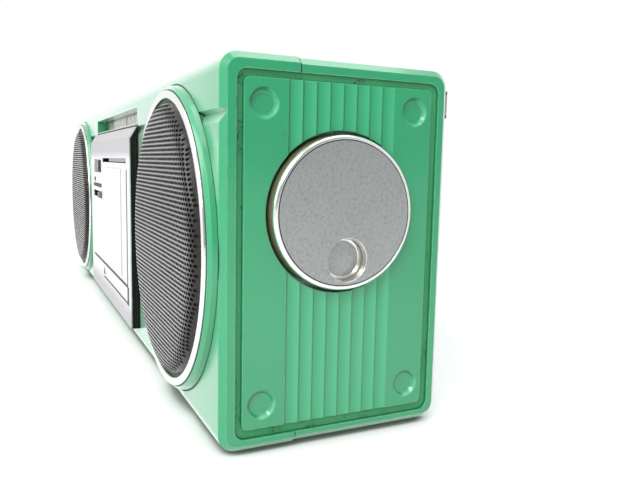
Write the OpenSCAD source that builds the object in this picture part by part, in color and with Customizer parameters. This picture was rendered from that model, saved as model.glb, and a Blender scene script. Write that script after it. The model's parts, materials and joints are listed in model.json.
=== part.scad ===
/* [Cabinet] */
// Length of the cabinet between its two end faces
cab_l = 522; // [500:1:600]
// Depth of the cabinet from front face to rear face
cab_d = 105; // [100:0.2:120]
// Height of the cabinet without its feet
cab_h = 159; // [156:1:180]
// Wall thickness of both shells
wall = 3; // [2.6:0.1:3.4]
// Radius of the long outer edges
corner_r = 7.5; // [5:0.5:10]
// Chamfer around each end
end_chamfer = 2.6; // [1.5:0.1:3.2]
// Distance from the front face back to the seam between the shells
seam_depth = 32.5; // [31:0.5:38]
// How far the rear shell lies inside the outline of the front shell
shell_step = 0.4; // [0.3:0.1:1.3]
// Height of the rubber feet
foot_h = 1.6; // [1:0.1:4]
// Radius of the rubber feet
foot_r = 7; // [5:0.5:9]
// Distance of the feet from the ends of the cabinet
foot_inset = 36; // [26:0.5:60]
// Height of the top of the groove along the front, below the cabinet's top
groove_drop = 21.5; // [20:0.1:22]
// Height of that groove on the front face
groove_h = 5.5; // [4:0.1:6]
// Depth of that groove
groove_d = 2.6; // [1.5:0.1:2.8]

/* [End panels] */
// Thickness of the shell's rim around an end panel
end_wall = 3.2; // [2.6:0.1:4]
// Width of the rim at the front
rim_front = 6.3; // [5:0.1:8]
// Width of the rim at the rear
rim_rear = 5.7; // [3.6:0.1:7]
// Width of the rim along the top
rim_top = 6.3; // [5:0.1:7]
// Width of the rim along the bottom
rim_bottom = 5; // [5:0.1:7]
// Width of the groove between rim and panel along the front and the top
panel_groove = 2.9; // [2:0.1:4]
// Width of the groove between rim and panel along the rear and the bottom
panel_groove_low = 4; // [2:0.1:5]
// Number of ribs on an end panel
rib_count = 8; // [6:1:9]
// Distance from one rib to the next
rib_pitch = 6.1; // [5:0.1:6.6]
// Distance from the front face to the first rib
rib_first = 27.8; // [26:0.1:29]
// Height of the step between two ribs
rib_step = 0.9; // [0.5:0.1:1.4]
// Radius of the round dishes near the panel's corners
dish_r = 5.7; // [4:0.1:6.4]
// Depth of those dishes
dish_d = 1.5; // [0.8:0.1:2]
// Distance of a dish from the front or rear edge of the panel
dish_inset = 8.4; // [7.6:0.1:9.7]
// Distance of a dish from the top or bottom edge of the panel
dish_inset_z = 9.8; // [8:0.1:13]

/* [Tuning] */
// Radius of the tuning knob
knob_r = 32.1; // [28:0.1:34]
// How far the knob stands out of the end panel
knob_proud = 4.65; // [3:0.05:8]
// Width of the knob's bevel
knob_bevel = 1.6; // [1:0.1:2.4]
// Gap between the knob and the hole in the panel
knob_gap = 1.65; // [1:0.05:2]
// Depth of the knob below the panel's face
knob_sunk = 7; // [6:0.1:9]
// Distance of the knob's axis below the cabinet's top
knob_drop = 62; // [55:0.5:66]
// Radius of the finger dimple's mouth
dimple_r = 9.3; // [7:0.1:9.8]
// Distance of the finger dimple from the knob's axis
dimple_off = 19.4; // [18.5:0.1:20]
// Depth of the finger dimple
dimple_d = 5.4; // [1:0.1:6]
// Turn of the knob at rest, which carries the dimple off the plumb line
dimple_turn = 3; // [-180:1:180]
// Radius of the tuning shaft
shaft_r = 3; // [2.5:0.1:3.5]
// Radius at which the shaft's pulley takes the cord
pulley_r = 7.5; // [6:0.1:8]
// Radius of the tuning drum
drum_r = 17; // [14:0.1:17.4]

/* [Speakers] */
// Distance of a speaker's drum from the end of the cabinet
drum_end = 2.7; // [1:0.1:12]
// Distance of a speaker's drum from the bottom of the cabinet
drum_foot = 6.4; // [3:0.1:12]
// How far the raised drum flares out below its ring
drum_flare = 2.6; // [1:0.1:4]
// How far the drum and its ring stand out of the front face
drum_proud = 5.4; // [4.6:0.1:7]
// Distance of a speaker's drum from the top of the cabinet
drum_top = 6.6; // [3:0.1:12]
// Width of the bright ring
ring_w = 2.9; // [2:0.1:4]
// Thickness of the bright ring
ring_t = 1.4; // [1:0.1:2]
// How far the grille bulges out of its edge
grille_bulge = 7.4; // [5:0.1:12]
// Width of the grille's flat edge inside the bright ring
grille_edge = 2; // [1.6:0.1:3]
// Thickness of the grille
grille_t = 0.8; // [0.6:0.1:1.2]
// How far the speaker hole lies inside the bright ring
hole_inset = 9.5; // [6:0.1:14]
// Width of the driver's flange behind the front wall
driver_flange = 7.5; // [6:0.1:9]
// Radius of the driver's magnet
magnet_r = 34; // [24:0.5:38]
// Depth of the driver behind the front wall
driver_d = 41; // [36:0.5:46]

/* [Centre panel] */
// Width of the centre panel
panel_w = 189; // [172:0.5:200]
// Least gap between the panel and a speaker's drum
panel_gap = 4; // [1:0.5:12]
// Height of the centre panel's lower edge
panel_z0 = 12.2; // [10:0.1:14]
// Thickness of the black moulding of the panel
frame_t = 2.9; // [2.6:0.1:3.4]
// Thickness of the bright skin
skin_t = 0.7; // [0.5:0.05:0.9]
// How far the panel's seat stands out of the front face
plinth_t = 1.9; // [1.5:0.1:2.2]
// Height of the sloped top of the panel
slope_h = 7; // [6:0.1:7.4]

/* [Cassette door] */
// Distance of the door's opening from the right edge of the panel
door_border = 12.6; // [8:0.1:20]
// Width of the cassette
cassette_w = 100.4; // [99:0.1:104]
// How far the door's opening lies above the panel's middle
door_lift = 0.35; // [-2:0.05:3]
// Height of the cassette
cassette_h = 64; // [63:0.1:67]
// Height of the cassette above the lower edge of the door's opening
door_sill = 11; // [9:0.1:14]
// Height above the cassette for the heads
head_room = 17.7; // [17:0.1:20]
// Height of the finger slot above the door
door_slot = 2.9; // [2:0.1:4]
// Thickness of the door
door_t = 2.5; // [2.3:0.1:3]
// Radius of the round lower edge of the door, about its hinge
door_bead_r = 2; // [1.8:0.05:2.6]
// Radius of the door's hinge pin
door_pin_r = 1; // [0.8:0.05:1.1]
// Height of the line across the door above the opening's lower edge
door_line = 11.9; // [9:0.1:17]
// Width of the raised field of the door
door_field_w = 68; // [50:1:80]

/* [Tape deck] */
// Distance from the front face back to the deck's plate
deck_depth = 15.2; // [15:0.1:16]
// Thickness of the deck's plate
deck_t = 1.5; // [1.2:0.1:2]
// Distance between the two reel spindles
reel_pitch = 42.5; // [42:0.1:43]
// Height of the reel spindles above the cassette's lower edge
reel_rise = 29; // [26:0.1:33]
// Place of the capstan beside the door's middle
capstan_x = 24; // [23:0.5:25]
// Height of the capstan above the cassette's lower edge
capstan_rise = 55; // [52:0.1:57]
// Radius of the capstan
capstan_r = 1.2; // [1:0.05:1.4]
// Radius of the flywheel
flywheel_r = 22; // [16:0.5:24]
// Radius of the motor's can
motor_r = 16; // [12:0.5:17]
// Distance of the motor's axis from the capstan's
motor_span = 52.1; // [48:0.1:56]
// Radius of the rubber pinch roller
pinch_r = 6.5; // [5.5:0.1:7]
// How far the head bridge travels
head_travel = 6; // [4:0.1:6.5]

/* [Keys] */
// Distance from one key to the next
key_pitch = 17.5; // [16:0.1:17.8]
// Gap between two keys
key_gap = 0.5; // [0.4:0.05:0.8]
// Length of a key's top, front to rear
key_len = 16.8; // [15:0.1:17.2]
// How far the keys stand above the top
key_proud = 1; // [0:0.1:2]
// Radius of the keys' shaft
key_shaft_r = 2; // [1.5:0.1:2.2]

/* [Dial] */
// How far the dial window ends inside the panel's edges
dial_inset = 2.5; // [0:0.1:12]
// Height of the dial window
dial_h = 9.6; // [8:0.1:10]
// Depth of the window's tunnel from the front face
dial_depth = 7; // [6:0.1:7.4]
// Width of the pointer's needle
needle_w = 1; // [0.6:0.1:1.6]

/* [Counter and front slider] */
// Distance from the counter's window to the door's opening
counter_gap = 20.3; // [20:0.1:22]
// Width of the counter's window
counter_w = 27.6; // [27.2:0.1:28]
// Height of the counter's window
counter_h = 10.3; // [9:0.1:11]
// Distance of the middle of the counter's window below the panel's front edge
counter_drop = 18.3; // [14:0.1:21]
// Radius of the number wheels
wheel_r = 6.5; // [5.8:0.1:6.8]
// Width of the reset button
reset_w = 9.4; // [8:0.1:9.6]
// Distance of the slot of the front slider below the panel's front edge
slot_drop = 40.8; // [38:0.1:48]
// Length of that slot
slot_l = 50.5; // [40:0.5:51]
// Width of that slot
slot_h = 5; // [4:0.1:6]

/* [Top controls] */
// Distance of the volume slider and function switch from the ends
control_inset = 76; // [60:1:90]
// Length of the slot of the volume slider
volume_slot = 48; // [40:1:60]
// Length of the slot of the function switch
switch_slot = 24; // [20:1:30]
// Height of the caps above the top
cap_h = 4; // [3:0.1:5]

/* [Antenna] */
// Distance of the antenna's turret from the end of the cabinet
turret_inset = 10; // [6:0.1:12]
// Distance of the antenna's axis below the cabinet's top
antenna_drop = 13.9; // [11:0.1:16]
// Distance of the antenna's axis behind the rear face
antenna_off = 3.2; // [3:0.1:4.5]
// Length of each section
antenna_l = 150; // [120:1:180]
// Outer radius of the widest section
antenna_r = 2.4; // [2.2:0.05:2.6]
// Wall of a section
antenna_wall = 0.4; // [0.3:0.05:0.45]

/* [Power] */
// Width of the battery bay's opening
bay_w = 216; // [190:1:220]
// Height of the lower edge of the battery bay's opening
bay_z0 = 16.1; // [15:0.1:18]
// Distance of the battery bay's opening from the cabinet's top
bay_drop = 73; // [70:0.1:76]
// Depth of the battery bay from the rear face
bay_d = 37; // [36:0.1:38]
// Distance of the mains inlet from the left end
inlet_inset = 76; // [72:0.5:90]
// Height of the mains inlet
inlet_z = 32; // [26:0.5:40]
// Distance of the jacks from the right end
jack_inset = 76; // [50:0.5:100]
// Distance between the two jacks
jack_pitch = 20; // [16:0.5:26]
// Radius of a jack's bore
jack_r = 1.8; // [1.25:0.05:3.2]

/* [Hidden] */
$fn = 96;
cabinet_green = "#4fae80";
chrome = "#c4c8c8";
silver = "#e2e2e4";
black = "#202224";
steel = "#a8acb0";
amber = "#e8d9b0";

// Clearance of a pressed shaft, of a running or sliding fit, and of pieces that pass each other
snug = 0.02;
fit = 0.05;
pass = 0.3;

// Planes of the cabinet: outer faces, inner faces and the seam
front_y = -cab_d / 2;
rear_y = cab_d / 2;
front_in = front_y + wall;
rear_in = rear_y - wall;
seam_y = front_y + seam_depth;
end_x = cab_l / 2;
end_in = end_x - end_wall;
top_in = cab_h - wall;

// A speaker fills the height, or the length beside the panel where that is less
drum_r0 = min((cab_h - drum_top - drum_foot) / 2, (end_x - drum_end - panel_gap - panel_w / 2) / 2);
speaker_x = end_x - drum_end - drum_r0;
speaker_z = drum_foot + (cab_h - drum_top - drum_foot) / 2;
ring_r = drum_r0 - drum_flare;
speaker_hole_r = ring_r - ring_w - hole_inset;
driver_r = speaker_hole_r + driver_flange;

foot_x = end_x - foot_inset;

// The groove along the front and the places that hang on it
groove_top = cab_h - groove_drop;
groove_low = groove_top - groove_h;
groove_fall = 1.3;

// The rim around an end panel
rim_y0 = front_y + rim_front;
rim_y1 = rear_y - rim_rear;
rim_z0 = rim_bottom;
rim_z1 = cab_h - rim_top;
plate_y0 = rim_y0 + panel_groove;
plate_y1 = rim_y1 - panel_groove_low;
plate_z0 = rim_z0 + panel_groove_low;
plate_z1 = rim_z1 - panel_groove;
rim_r = 4.4;
flange_t = 2;
knob_z = cab_h - knob_drop;
knob_y = front_y + rib_first + rib_pitch * rib_count / 2;
cup_t = 2.3;
cup_floor = end_x - knob_sunk - 1.5;
cup_back = cup_floor - 2.5;
bush_r = 5;
bush_l = 12;
pulley_x = end_x - 30;
pulley_w = 7;
drum_gap = 0.5;
drum_y = knob_y + pulley_r + 1 + drum_gap + drum_r;
drum_axis_z = knob_z + 8;

// The centre panel, from its seat forward
plinth_y = front_y - plinth_t;
frame_y = plinth_y - frame_t;
skin_y = frame_y - skin_t;
panel_z1 = groove_top - 0.7 - slope_h;
slope_back = 4.1;
slope_top = panel_z1 + slope_h;
carrier_t = 2.3;
carrier_gap = 0.4;
carrier_half = cassette_w / 2 + carrier_gap;
door_w = 2 * (carrier_half + carrier_t + 3 * pass);
door_h = door_sill + cassette_h + head_room;
door_x1 = panel_w / 2 - door_border;
door_x = door_x1 - door_w / 2;
door_x0 = door_x1 - door_w;
door_z0 = (panel_z0 + panel_z1 - door_h) / 2 + door_lift;
cassette_z0 = door_z0 + door_sill;
door_line_z = door_z0 + door_line;
door_z1 = door_z0 + door_h;
well_t = 2.5;
well_x0 = door_x0 - well_t;
well_x1 = door_x1 + well_t;
well_z0 = door_z0 - well_t;
well_z1 = door_z1 + well_t;
deck_y = front_y + deck_depth;
deck_back = deck_y + deck_t;
hinge_y = skin_y + door_bead_r;
hinge_z = door_z0 + 0.4 + door_bead_r;
door_top = door_z1 - door_slot;
door_back = skin_y + door_t;
line_h = 1.4;
line_d = 0.8;
field_t = 0.5;

// The deck behind its plate
reel_z = cassette_z0 + reel_rise;
capstan_z = cassette_z0 + capstan_rise;
boss_r = 4;
deck_boss_x = door_w / 2 + well_t + boss_r + 2.7;
deck_boss_z = [well_z0 - 2.5, panel_z1 - (slot_drop + counter_drop) / 2];
deck_x0 = door_x - deck_boss_x - boss_r - 1;
deck_x1 = door_x + deck_boss_x + boss_r + 1;
deck_z0 = deck_boss_z[0] - boss_r - 1;
deck_z1 = well_z1 + boss_r + 5.8;
pilot_r = 1.25;
shank_r = 1.2;
backplate_y = deck_back + 15;
backplate_t = 1.5;
flywheel_y = deck_back + 5;
flywheel_t = 7;
cap_x = door_x + capstan_x;
drive_x = cap_x - motor_span;
drive_z = capstan_z + 4;
backplate_x = [drive_x - motor_r - 8, cap_x + flywheel_r + 10];
backplate_z = [drive_z - motor_r + 1, drive_z + motor_r + 5];
standoff_r = 3;
motor_l = 25;
motor_shaft_r = 1;
motor_shaft_l = 10;
capstan_boss_r = 4;
reel_shaft_r = 1.5;
reel_table_r = 12;
reel_head_r = 3.4;
reel_head_l = 8;
drive_r = 5;
belt_t = 1.2;
bridge_t = 1.3;
bridge_y = deck_y - pass - bridge_t;
bridge_half = 46;
bridge_x0 = door_x - bridge_half;
bridge_x1 = door_x + bridge_half;
bridge_z0 = cassette_z0 + cassette_h + 2.5;
bridge_z1 = door_z1 - 2.2;
rivet_x = 38;
rivet_z = bridge_z0 + 3.5;
rivet_r = 1.5;
pinch_z = capstan_z + capstan_r + pinch_r + pass + head_travel;
pinch_pin_r = 1.2;

// The keys
key_count = 6;
dial_back = front_y + dial_depth + 3.8;
key_front = dial_back + 0.4;
key_rear = key_front + key_len;
key_axis_y = key_rear + 1.7;
key_axis_z = cab_h - 8;
key_hub_r = key_shaft_r + 1.4;
key_w = key_pitch - key_gap;
key_x0 = door_x - key_pitch * key_count / 2;
key_slot_front = key_front - 1.6;
key_slot_rear = key_rear + 0.7;
key_plate_x = [key_x0 - 4.8, key_x0 + key_pitch * key_count + 3.3];

// The dial
dial_w = panel_w - 2 * dial_inset;
dial_z1 = cab_h - 10.5;
dial_z0 = dial_z1 - dial_h;
tunnel_t = 1.5;
tunnel_y = front_y + dial_depth;
lens_t = 1;
scale_t = 1.2;
scale_y = dial_back - scale_t;
scale_z0 = cab_h - 26;
scale_z1 = cab_h - 11;
scale_half = dial_w / 2 + 16;
rail_r = 1;
rail_z = cab_h - 24;
rail_y = (tunnel_y + lens_t + scale_y) / 2 - 0.4;
ear_x = dial_w / 2 + 4;
scale_boss_x = dial_w / 2 + 12;
scale_boss_z = cab_h - 19;

// The counter and the front slider
counter_x1 = door_x0 - counter_gap;
counter_x = counter_x1 - counter_w;
counter_z = panel_z1 - counter_drop;
slot_z = panel_z1 - slot_drop;
counter_z0 = counter_z - counter_h / 2;
counter_z1 = counter_z + counter_h / 2;
wheel_w = (counter_w - 1.6) / 3 - 0.6;
wheel_y = skin_y + lens_t + 1.3 + wheel_r;
axle_r = 1.2;
cheek_t = 1.4;
housing_z0 = counter_z - wheel_r - 0.6;
housing_z1 = counter_z + wheel_r + 0.6;
housing_back = wheel_y + wheel_r + 3;
reset_x0 = counter_x1 + 3;
reset_z0 = counter_z0 + 0.6;
reset_z1 = counter_z1 - 0.6;
slot_x1 = well_x0 - 1.3;
slot_x0 = slot_x1 - slot_l;
slider_w = 7;
pot_d = 8;

// The top controls
top_control_x = end_x - control_inset;
control_y = (key_front + key_rear) / 2;
stem_w = 1.8;
stem_l = 5;
slit_w = stem_w + 2 * pass;
body_h = 8;
cap_w = 8;
cap_l = 10;
cap_float = 0.3;

// The antenna
turret_x = end_x - shell_step - turret_inset;
turret_r = 2.6;
turret_y = rear_y + antenna_off;
antenna_z = cab_h - antenna_drop;
bracket_h = 12;
leg_t = 1.6;
tilt_x = turret_x - 9.5;
tongue_t = 1.6;
tongue_r = 2.2;
tilt_pin_r = 0.8;
sleeve_fit = 0.05;
mid_r = antenna_r - antenna_wall - sleeve_fit;
tip_r = mid_r - antenna_wall - sleeve_fit;
button_r = 2.2;
button_l = 5;
rest_x = tilt_x - antenna_l + 18;

// The power side
bay_x = bay_w / 2;
bay_z1 = cab_h - bay_drop;
box_t = 2.5;
bay_front = rear_y - bay_d;
cover_bead_r = wall / 2;
cover_axis_y = rear_y - cover_bead_r;
cover_axis_z = bay_z0 + pass + cover_bead_r;
cover_pin_r = 0.7;
board_z = bay_z1 + box_t + 4;
board_t = 1.6;
board_x0 = -100;
board_x1 = pulley_x - 5;
board_y0 = bay_front + 2;
board_y1 = rear_in - 2.2;
gang_x0 = board_x1 - 22;
inlet_x = inlet_inset - end_x;
jack_x = end_x - jack_inset;
inlet_w = 20;
inlet_h = 12;
socket_d = 15;
pin_x = 5.2;
pin_r = 1.2;
jack_z = 30;
jack_sleeve_r = jack_r + 2.7;

// Posts that hold the two shells together
post_r = 4.5;
post_x = [bay_x + box_t + post_r + 3, end_in - post_r - 7.3];
posts = [for (s = [-1, 1], x = post_x, z = [post_r + wall + 2, top_in - post_r - 3.5]) [s * x, z]];
screw_seat = seam_y + 8;

// The transformer beside the left post
core_w = 36;
core_d = 32;
core_h = 37;
core_x0 = post_r + 4.5 - post_x[1];
core_y0 = rear_in - core_d - 10;

// The part stands with the middle of its box over the origin
front_most = front_y - drum_proud + ring_t + 0.4 - grille_bulge;
rear_most = turret_y + turret_r;
mid_x = knob_proud / 2;
mid_y = (front_most + rear_most) / 2;

module place() {
    translate([-mid_x, -mid_y, foot_h]) children();
}

// A box given by its two corners
module block(x0, x1, y0, y1, z0, z1) {
    translate([x0, y0, z0]) cube([x1 - x0, y1 - y0, z1 - z0]);
}

// Round bars along each axis
module bar_x(x0, x1, y, z, r) {
    translate([x0, y, z]) rotate([0, 90, 0]) cylinder(r = r, h = x1 - x0);
}

module bar_y(x, y0, y1, z, r) {
    translate([x, y1, z]) rotate([90, 0, 0]) cylinder(r = r, h = y1 - y0);
}

module bar_z(x, y, z0, z1, r) {
    translate([x, y, z0]) cylinder(r = r, h = z1 - z0);
}

// A flat outline of (y, z) points drawn out along x
module along_x(x0, x1) {
    translate([x0, 0, 0]) rotate([90, 0, 90]) linear_extrude(x1 - x0) children();
}

// A flat outline of (x, z) points drawn out along y
module along_y(y0, y1) {
    translate([0, y1, 0]) rotate([90, 0, 0]) linear_extrude(y1 - y0) children();
}

// A rectangle with round corners, given by its two corners
module round_rect(a0, a1, b0, b1, r) {
    translate([a0 + r, b0]) square([a1 - a0 - 2 * r, b1 - b0]);
    translate([a0, b0 + r]) square([a1 - a0, b1 - b0 - 2 * r]);
    for (a = [a0 + r, a1 - r], b = [b0 + r, b1 - r]) translate([a, b]) circle(r);
}

// Turned pieces of a speaker, the profile's height pointing forward from the front face
module at_speaker(side) {
    translate([side * speaker_x, front_y, speaker_z]) rotate([90, 0, 0]) children();
}

// The last layer of a cabinet's end, which narrows by its own thickness
module chamfer_layer(d, h, r, c) {
    along_y(-d / 2 + r, d / 2 - r) polygon([[0, -h / 2], [c, c - h / 2], [c, h / 2 - c], [0, h / 2]]);
    translate([0, 0, r - h / 2]) linear_extrude(h - 2 * r)
        polygon([[0, -d / 2], [c, c - d / 2], [c, d / 2 - c], [0, d / 2]]);
    for (y = [r - d / 2, d / 2 - r], z = [r - h / 2, h / 2 - r])
        translate([0, y, z]) rotate([0, 90, 0]) cylinder(r1 = r, r2 = r - c, h = c);
}

// A cabinet with round long edges and chamfered ends
module cabinet_block(l, d, h, r, c) {
    translate([0, 0, cab_h / 2]) {
        along_x(c - l / 2, l / 2 - c) round_rect(-d / 2, d / 2, -h / 2, h / 2, r);
        for (side = [0, 1]) mirror([side, 0, 0]) translate([l / 2 - c, 0, 0]) chamfer_layer(d, h, r, c);
    }
}

module cavity() {
    along_x(-end_in, end_in) round_rect(front_in, rear_in, wall, top_in, corner_r - wall);
}

module rim_opening() {
    along_x(-end_x - 1, end_x + 1) round_rect(rim_y0, rim_y1, rim_z0, rim_z1, rim_r);
}

// Openings that go through the panel, its moulding and the front wall
module counter_opening(y0, y1) {
    block(counter_x, counter_x1, y0, y1, counter_z0, counter_z1);
}

module reset_opening(y0, y1) {
    block(reset_x0 - pass, reset_x0 + reset_w + pass, y0, y1, reset_z0 - pass, reset_z1 + pass);
}

module slider_opening(y0, y1) {
    block(slot_x0, slot_x1, y0, y1, slot_z - slot_h / 2, slot_z + slot_h / 2);
}

// The V along the front: nearly level above, sloping out below
module groove() {
    along_x(-end_x - 1, end_x + 1)
        polygon([[front_y - 1, groove_top + groove_fall / groove_d],
            [front_y + groove_d, groove_top - groove_fall],
            [front_y - 1, groove_low - (groove_h - groove_fall) / groove_d]]);
}

module groove_backing() {
    backing_x = end_in - flange_t - pass;
    difference() {
        block(-backing_x, backing_x, front_in - 0.5, front_in + groove_d, groove_low - 3, dial_z0);
        groove();
        for (s = [-1, 1]) bar_y(s * speaker_x, front_in - 1, front_in + groove_d + 1, speaker_z, driver_r + 0.5);
    }
}

module front_shell() {
    color(cabinet_green) place() difference() {
        union() {
            intersection() {
                difference() {
                    cabinet_block(cab_l, cab_d, cab_h, corner_r, end_chamfer);
                    cavity();
                    rim_opening();
                    groove();
                }
                block(-end_x, end_x, front_y, seam_y, 0, cab_h);
            }
            groove_backing();
            // raised seat of the centre panel
            block(-panel_w / 2, panel_w / 2, plinth_y, front_y + 0.5, panel_z0, panel_z1 + 0.5);
            // tunnel of the dial window
            block(-dial_w / 2 - tunnel_t, dial_w / 2 + tunnel_t, front_in - 0.5, tunnel_y,
                dial_z0 - tunnel_t, dial_z1 + tunnel_t);
            // raised drums around the speakers
            for (side = [-1, 1]) at_speaker(side) rotate_extrude()
                polygon([[speaker_hole_r - 1, -wall], [drum_r0, -wall], [drum_r0, 0],
                    [ring_r + 0.2, drum_proud - ring_t], [ring_r - ring_w, drum_proud - ring_t],
                    [ring_r - ring_w, drum_proud - ring_t - 1.2],
                    [ring_r - ring_w - 2, drum_proud - ring_t - 1.2], [ring_r - ring_w - 2, 0],
                    [speaker_hole_r - 1, 0]]);
            // bosses for the deck, the dial and the case screws
            for (s = [-1, 1], z = deck_boss_z)
                bar_y(door_x + s * deck_boss_x, front_in - 0.5, deck_y, z, boss_r);
            for (s = [-1, 1]) bar_y(s * scale_boss_x, front_in - 0.5, scale_y, scale_boss_z, boss_r - 0.5);
            for (p = posts) bar_y(p[0], front_in - 0.5, seam_y, p[1], post_r);
        }
        for (side = [-1, 1]) bar_y(side * speaker_x, front_y - 1, front_in + 1, speaker_z, speaker_hole_r);
        block(-dial_w / 2, dial_w / 2, front_y - 1, tunnel_y + 1, dial_z0, dial_z1);
        block(well_x0 - 0.2, well_x1 + 0.2, plinth_y - 1, front_in + 1, well_z0 - 0.2, well_z1 + 0.2);
        block(counter_x - cheek_t - 0.4, counter_x1 + cheek_t + 0.4, plinth_y - 1, front_in + 1,
            housing_z0 - 0.4, housing_z1 + 0.4);
        reset_opening(plinth_y - 1, front_in + 1);
        slider_opening(plinth_y - 1, front_in + 1);
        block(key_x0 - 1, key_x0 + key_pitch * key_count + 0.5, key_slot_front, key_slot_rear,
            top_in - 1, cab_h + 1);
        slit(-top_control_x, volume_slot, top_in - 1, cab_h + 1);
        slit(top_control_x, switch_slot, top_in - 1, cab_h + 1);
        for (s = [-1, 1], z = deck_boss_z)
            bar_y(door_x + s * deck_boss_x, deck_y - 8, deck_y + 1, z, pilot_r);
        for (s = [-1, 1]) bar_y(s * scale_boss_x, scale_y - 4, scale_y + 1, scale_boss_z, pilot_r);
        for (p = posts) bar_y(p[0], seam_y - 10, seam_y + 1, p[1], pilot_r);
        for (side = [-1, 1]) driver_screws(side) translate([0, 0, -wall - 1]) cylinder(r = pilot_r, h = 2.8);
    }
}

// A slit in the top for a slider's stem
module slit(x, l, z0, z1) {
    block(x - l / 2, x + l / 2, control_y - slit_w / 2, control_y + slit_w / 2, z0, z1);
}

// Four screw places around a driver
module driver_screws(side) {
    at_speaker(side) for (a = [45:90:315]) rotate(a) translate([driver_r - 3.5, 0, 0]) children();
}

module rear_shell() {
    color(cabinet_green) place() difference() {
        union() {
            intersection() {
                difference() {
                    cabinet_block(cab_l - 2 * shell_step, cab_d, cab_h - 2 * shell_step,
                        corner_r, end_chamfer);
                    cavity();
                    rim_opening();
                }
                block(-end_x, end_x, seam_y, rear_y, 0, cab_h);
            }
            for (p = posts) bar_y(p[0], seam_y, rear_in + 0.5, p[1], post_r);
            // shelf under the board's far end and rest under the antenna
            block(gang_x0 + 4, gang_x0 + 14, board_y1 - 6, rear_in + 0.5, board_z - 3, board_z);
            block(rest_x - 4, rest_x + 4, rear_y - 0.5, turret_y + antenna_r,
                antenna_z - antenna_r - pass - 1, antenna_z - antenna_r - pass);
        }
        block(-bay_x, bay_x, rear_in - 1, rear_y + 1, bay_z0, bay_z1);
        bar_x(-bay_x - 4, bay_x + 4, cover_axis_y, cover_axis_z, cover_pin_r + fit);
        block(inlet_x - inlet_w / 2 - 0.1, inlet_x + inlet_w / 2 + 0.1, rear_in - 1, rear_y + 1,
            inlet_z - inlet_h / 2 - 0.1, inlet_z + inlet_h / 2 + 0.1);
        for (s = [-1, 1]) bar_y(jack_x + s * jack_pitch / 2, rear_in - 1, rear_y + 1, jack_z, jack_sleeve_r + 0.1);
        for (p = posts) {
            bar_y(p[0], screw_seat, rear_y + 1, p[1], post_r - 1.2);
            bar_y(p[0], seam_y - 1, screw_seat + 1, p[1], shank_r + 0.3);
        }
    }
}

// The ribbed plate of an end, drawn for the right end
module end_plate() {
    difference() {
        union() {
            along_x(end_in - flange_t, end_in)
                round_rect(front_in + 0.2, rear_in - 0.2, wall + 0.2, top_in - 0.2, corner_r - wall - 0.2);
            along_x(end_in - 0.5, end_x)
                round_rect(plate_y0, plate_y1, plate_z0, plate_z1, rim_r - 2);
        }
        // each rib slopes out towards the rear and drops back at the next
        for (i = [0:rib_count - 1]) rib_cut(front_y + rib_first + i * rib_pitch);
        for (y = [plate_y0 + dish_inset, plate_y1 - dish_inset], z = [plate_z0 + dish_inset_z, plate_z1 - dish_inset_z])
            translate([end_x - dish_d, y, z]) rotate([0, 90, 0])
                cylinder(r1 = dish_r - 1.2, r2 = dish_r + 1.2 * (1 / dish_d), h = dish_d + 1);
    }
}

module rib_cut(y) {
    translate([0, 0, rim_z0]) linear_extrude(rim_z1 - rim_z0)
        polygon([[end_x + 1, y], [end_x - rib_step, y], [end_x - rib_step, y + 0.5], [end_x, y + rib_pitch - 0.4],
            [end_x + 1, y + rib_pitch - 0.4]]);
}

module end_panel_right() {
    color(cabinet_green) place() difference() {
        union() {
            end_plate();
            bar_x(cup_back, end_in - flange_t + 0.5, knob_y, knob_z, knob_r + knob_gap + cup_t);
        }
        bar_x(cup_floor, end_x + 1, knob_y, knob_z, knob_r + knob_gap);
        bar_x(cup_back - 1, cup_floor + 1, knob_y, knob_z, bush_r + fit);
    }
}

module end_panel_left() {
    color(cabinet_green) place() mirror([1, 0, 0]) end_plate();
}

module tuning_knob() {
    color(chrome) place() translate([end_x, knob_y, knob_z]) rotate([0, 90, 0]) difference() {
        rotate_extrude() polygon([[0, -knob_sunk], [knob_r - 1, -knob_sunk], [knob_r, 1 - knob_sunk],
            [knob_r, knob_proud - knob_bevel], [knob_r - 0.35, knob_proud - 0.55],
            [knob_r - knob_bevel, knob_proud], [0, knob_proud]]);
        rotate([0, 0, dimple_turn]) translate([dimple_off, 0, knob_proud - dimple_d])
            cylinder(r1 = dimple_r - 1.7, r2 = dimple_r + 1.7 / dimple_d, h = dimple_d + 1);
        translate([0, 0, -knob_sunk - 1]) cylinder(r = shaft_r, h = knob_sunk);
    }
}

module tuning_shaft() {
    color(steel) place() {
        bar_x(pulley_x - 3, end_x - 1 - snug, knob_y, knob_z, shaft_r - snug);
        translate([pulley_x, knob_y, knob_z]) rotate([0, 90, 0]) rotate_extrude()
            polygon([[shaft_r - 1, 0], [pulley_r + 1, 0], [pulley_r, 1.6], [pulley_r, pulley_w - 1.6],
                [pulley_r + 1, pulley_w], [shaft_r - 1, pulley_w]]);
    }
}

module shaft_bush() {
    color("#b08d57") place() difference() {
        union() {
            bar_x(cup_floor + 0.2 - bush_l, cup_floor + 0.2, knob_y, knob_z, bush_r);
            bar_x(cup_back - 1.5, cup_back, knob_y, knob_z, bush_r + 3);
        }
        bar_x(cup_floor - bush_l - 1, cup_floor + 2, knob_y, knob_z, shaft_r - snug + fit);
    }
}

module tuning_drum() {
    color("#d8d4c8") place() {
        bar_x(gang_x0 + 12, pulley_x + pulley_w + 1, drum_y, drum_axis_z, shaft_r);
        translate([pulley_x, drum_y, drum_axis_z]) rotate([0, 90, 0]) rotate_extrude()
            polygon([[shaft_r - 1, 0], [drum_r, 0], [drum_r - 1, 1.6], [drum_r - 1, pulley_w - 1.6],
                [drum_r, pulley_w], [shaft_r - 1, pulley_w]]);
    }
}

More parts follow.
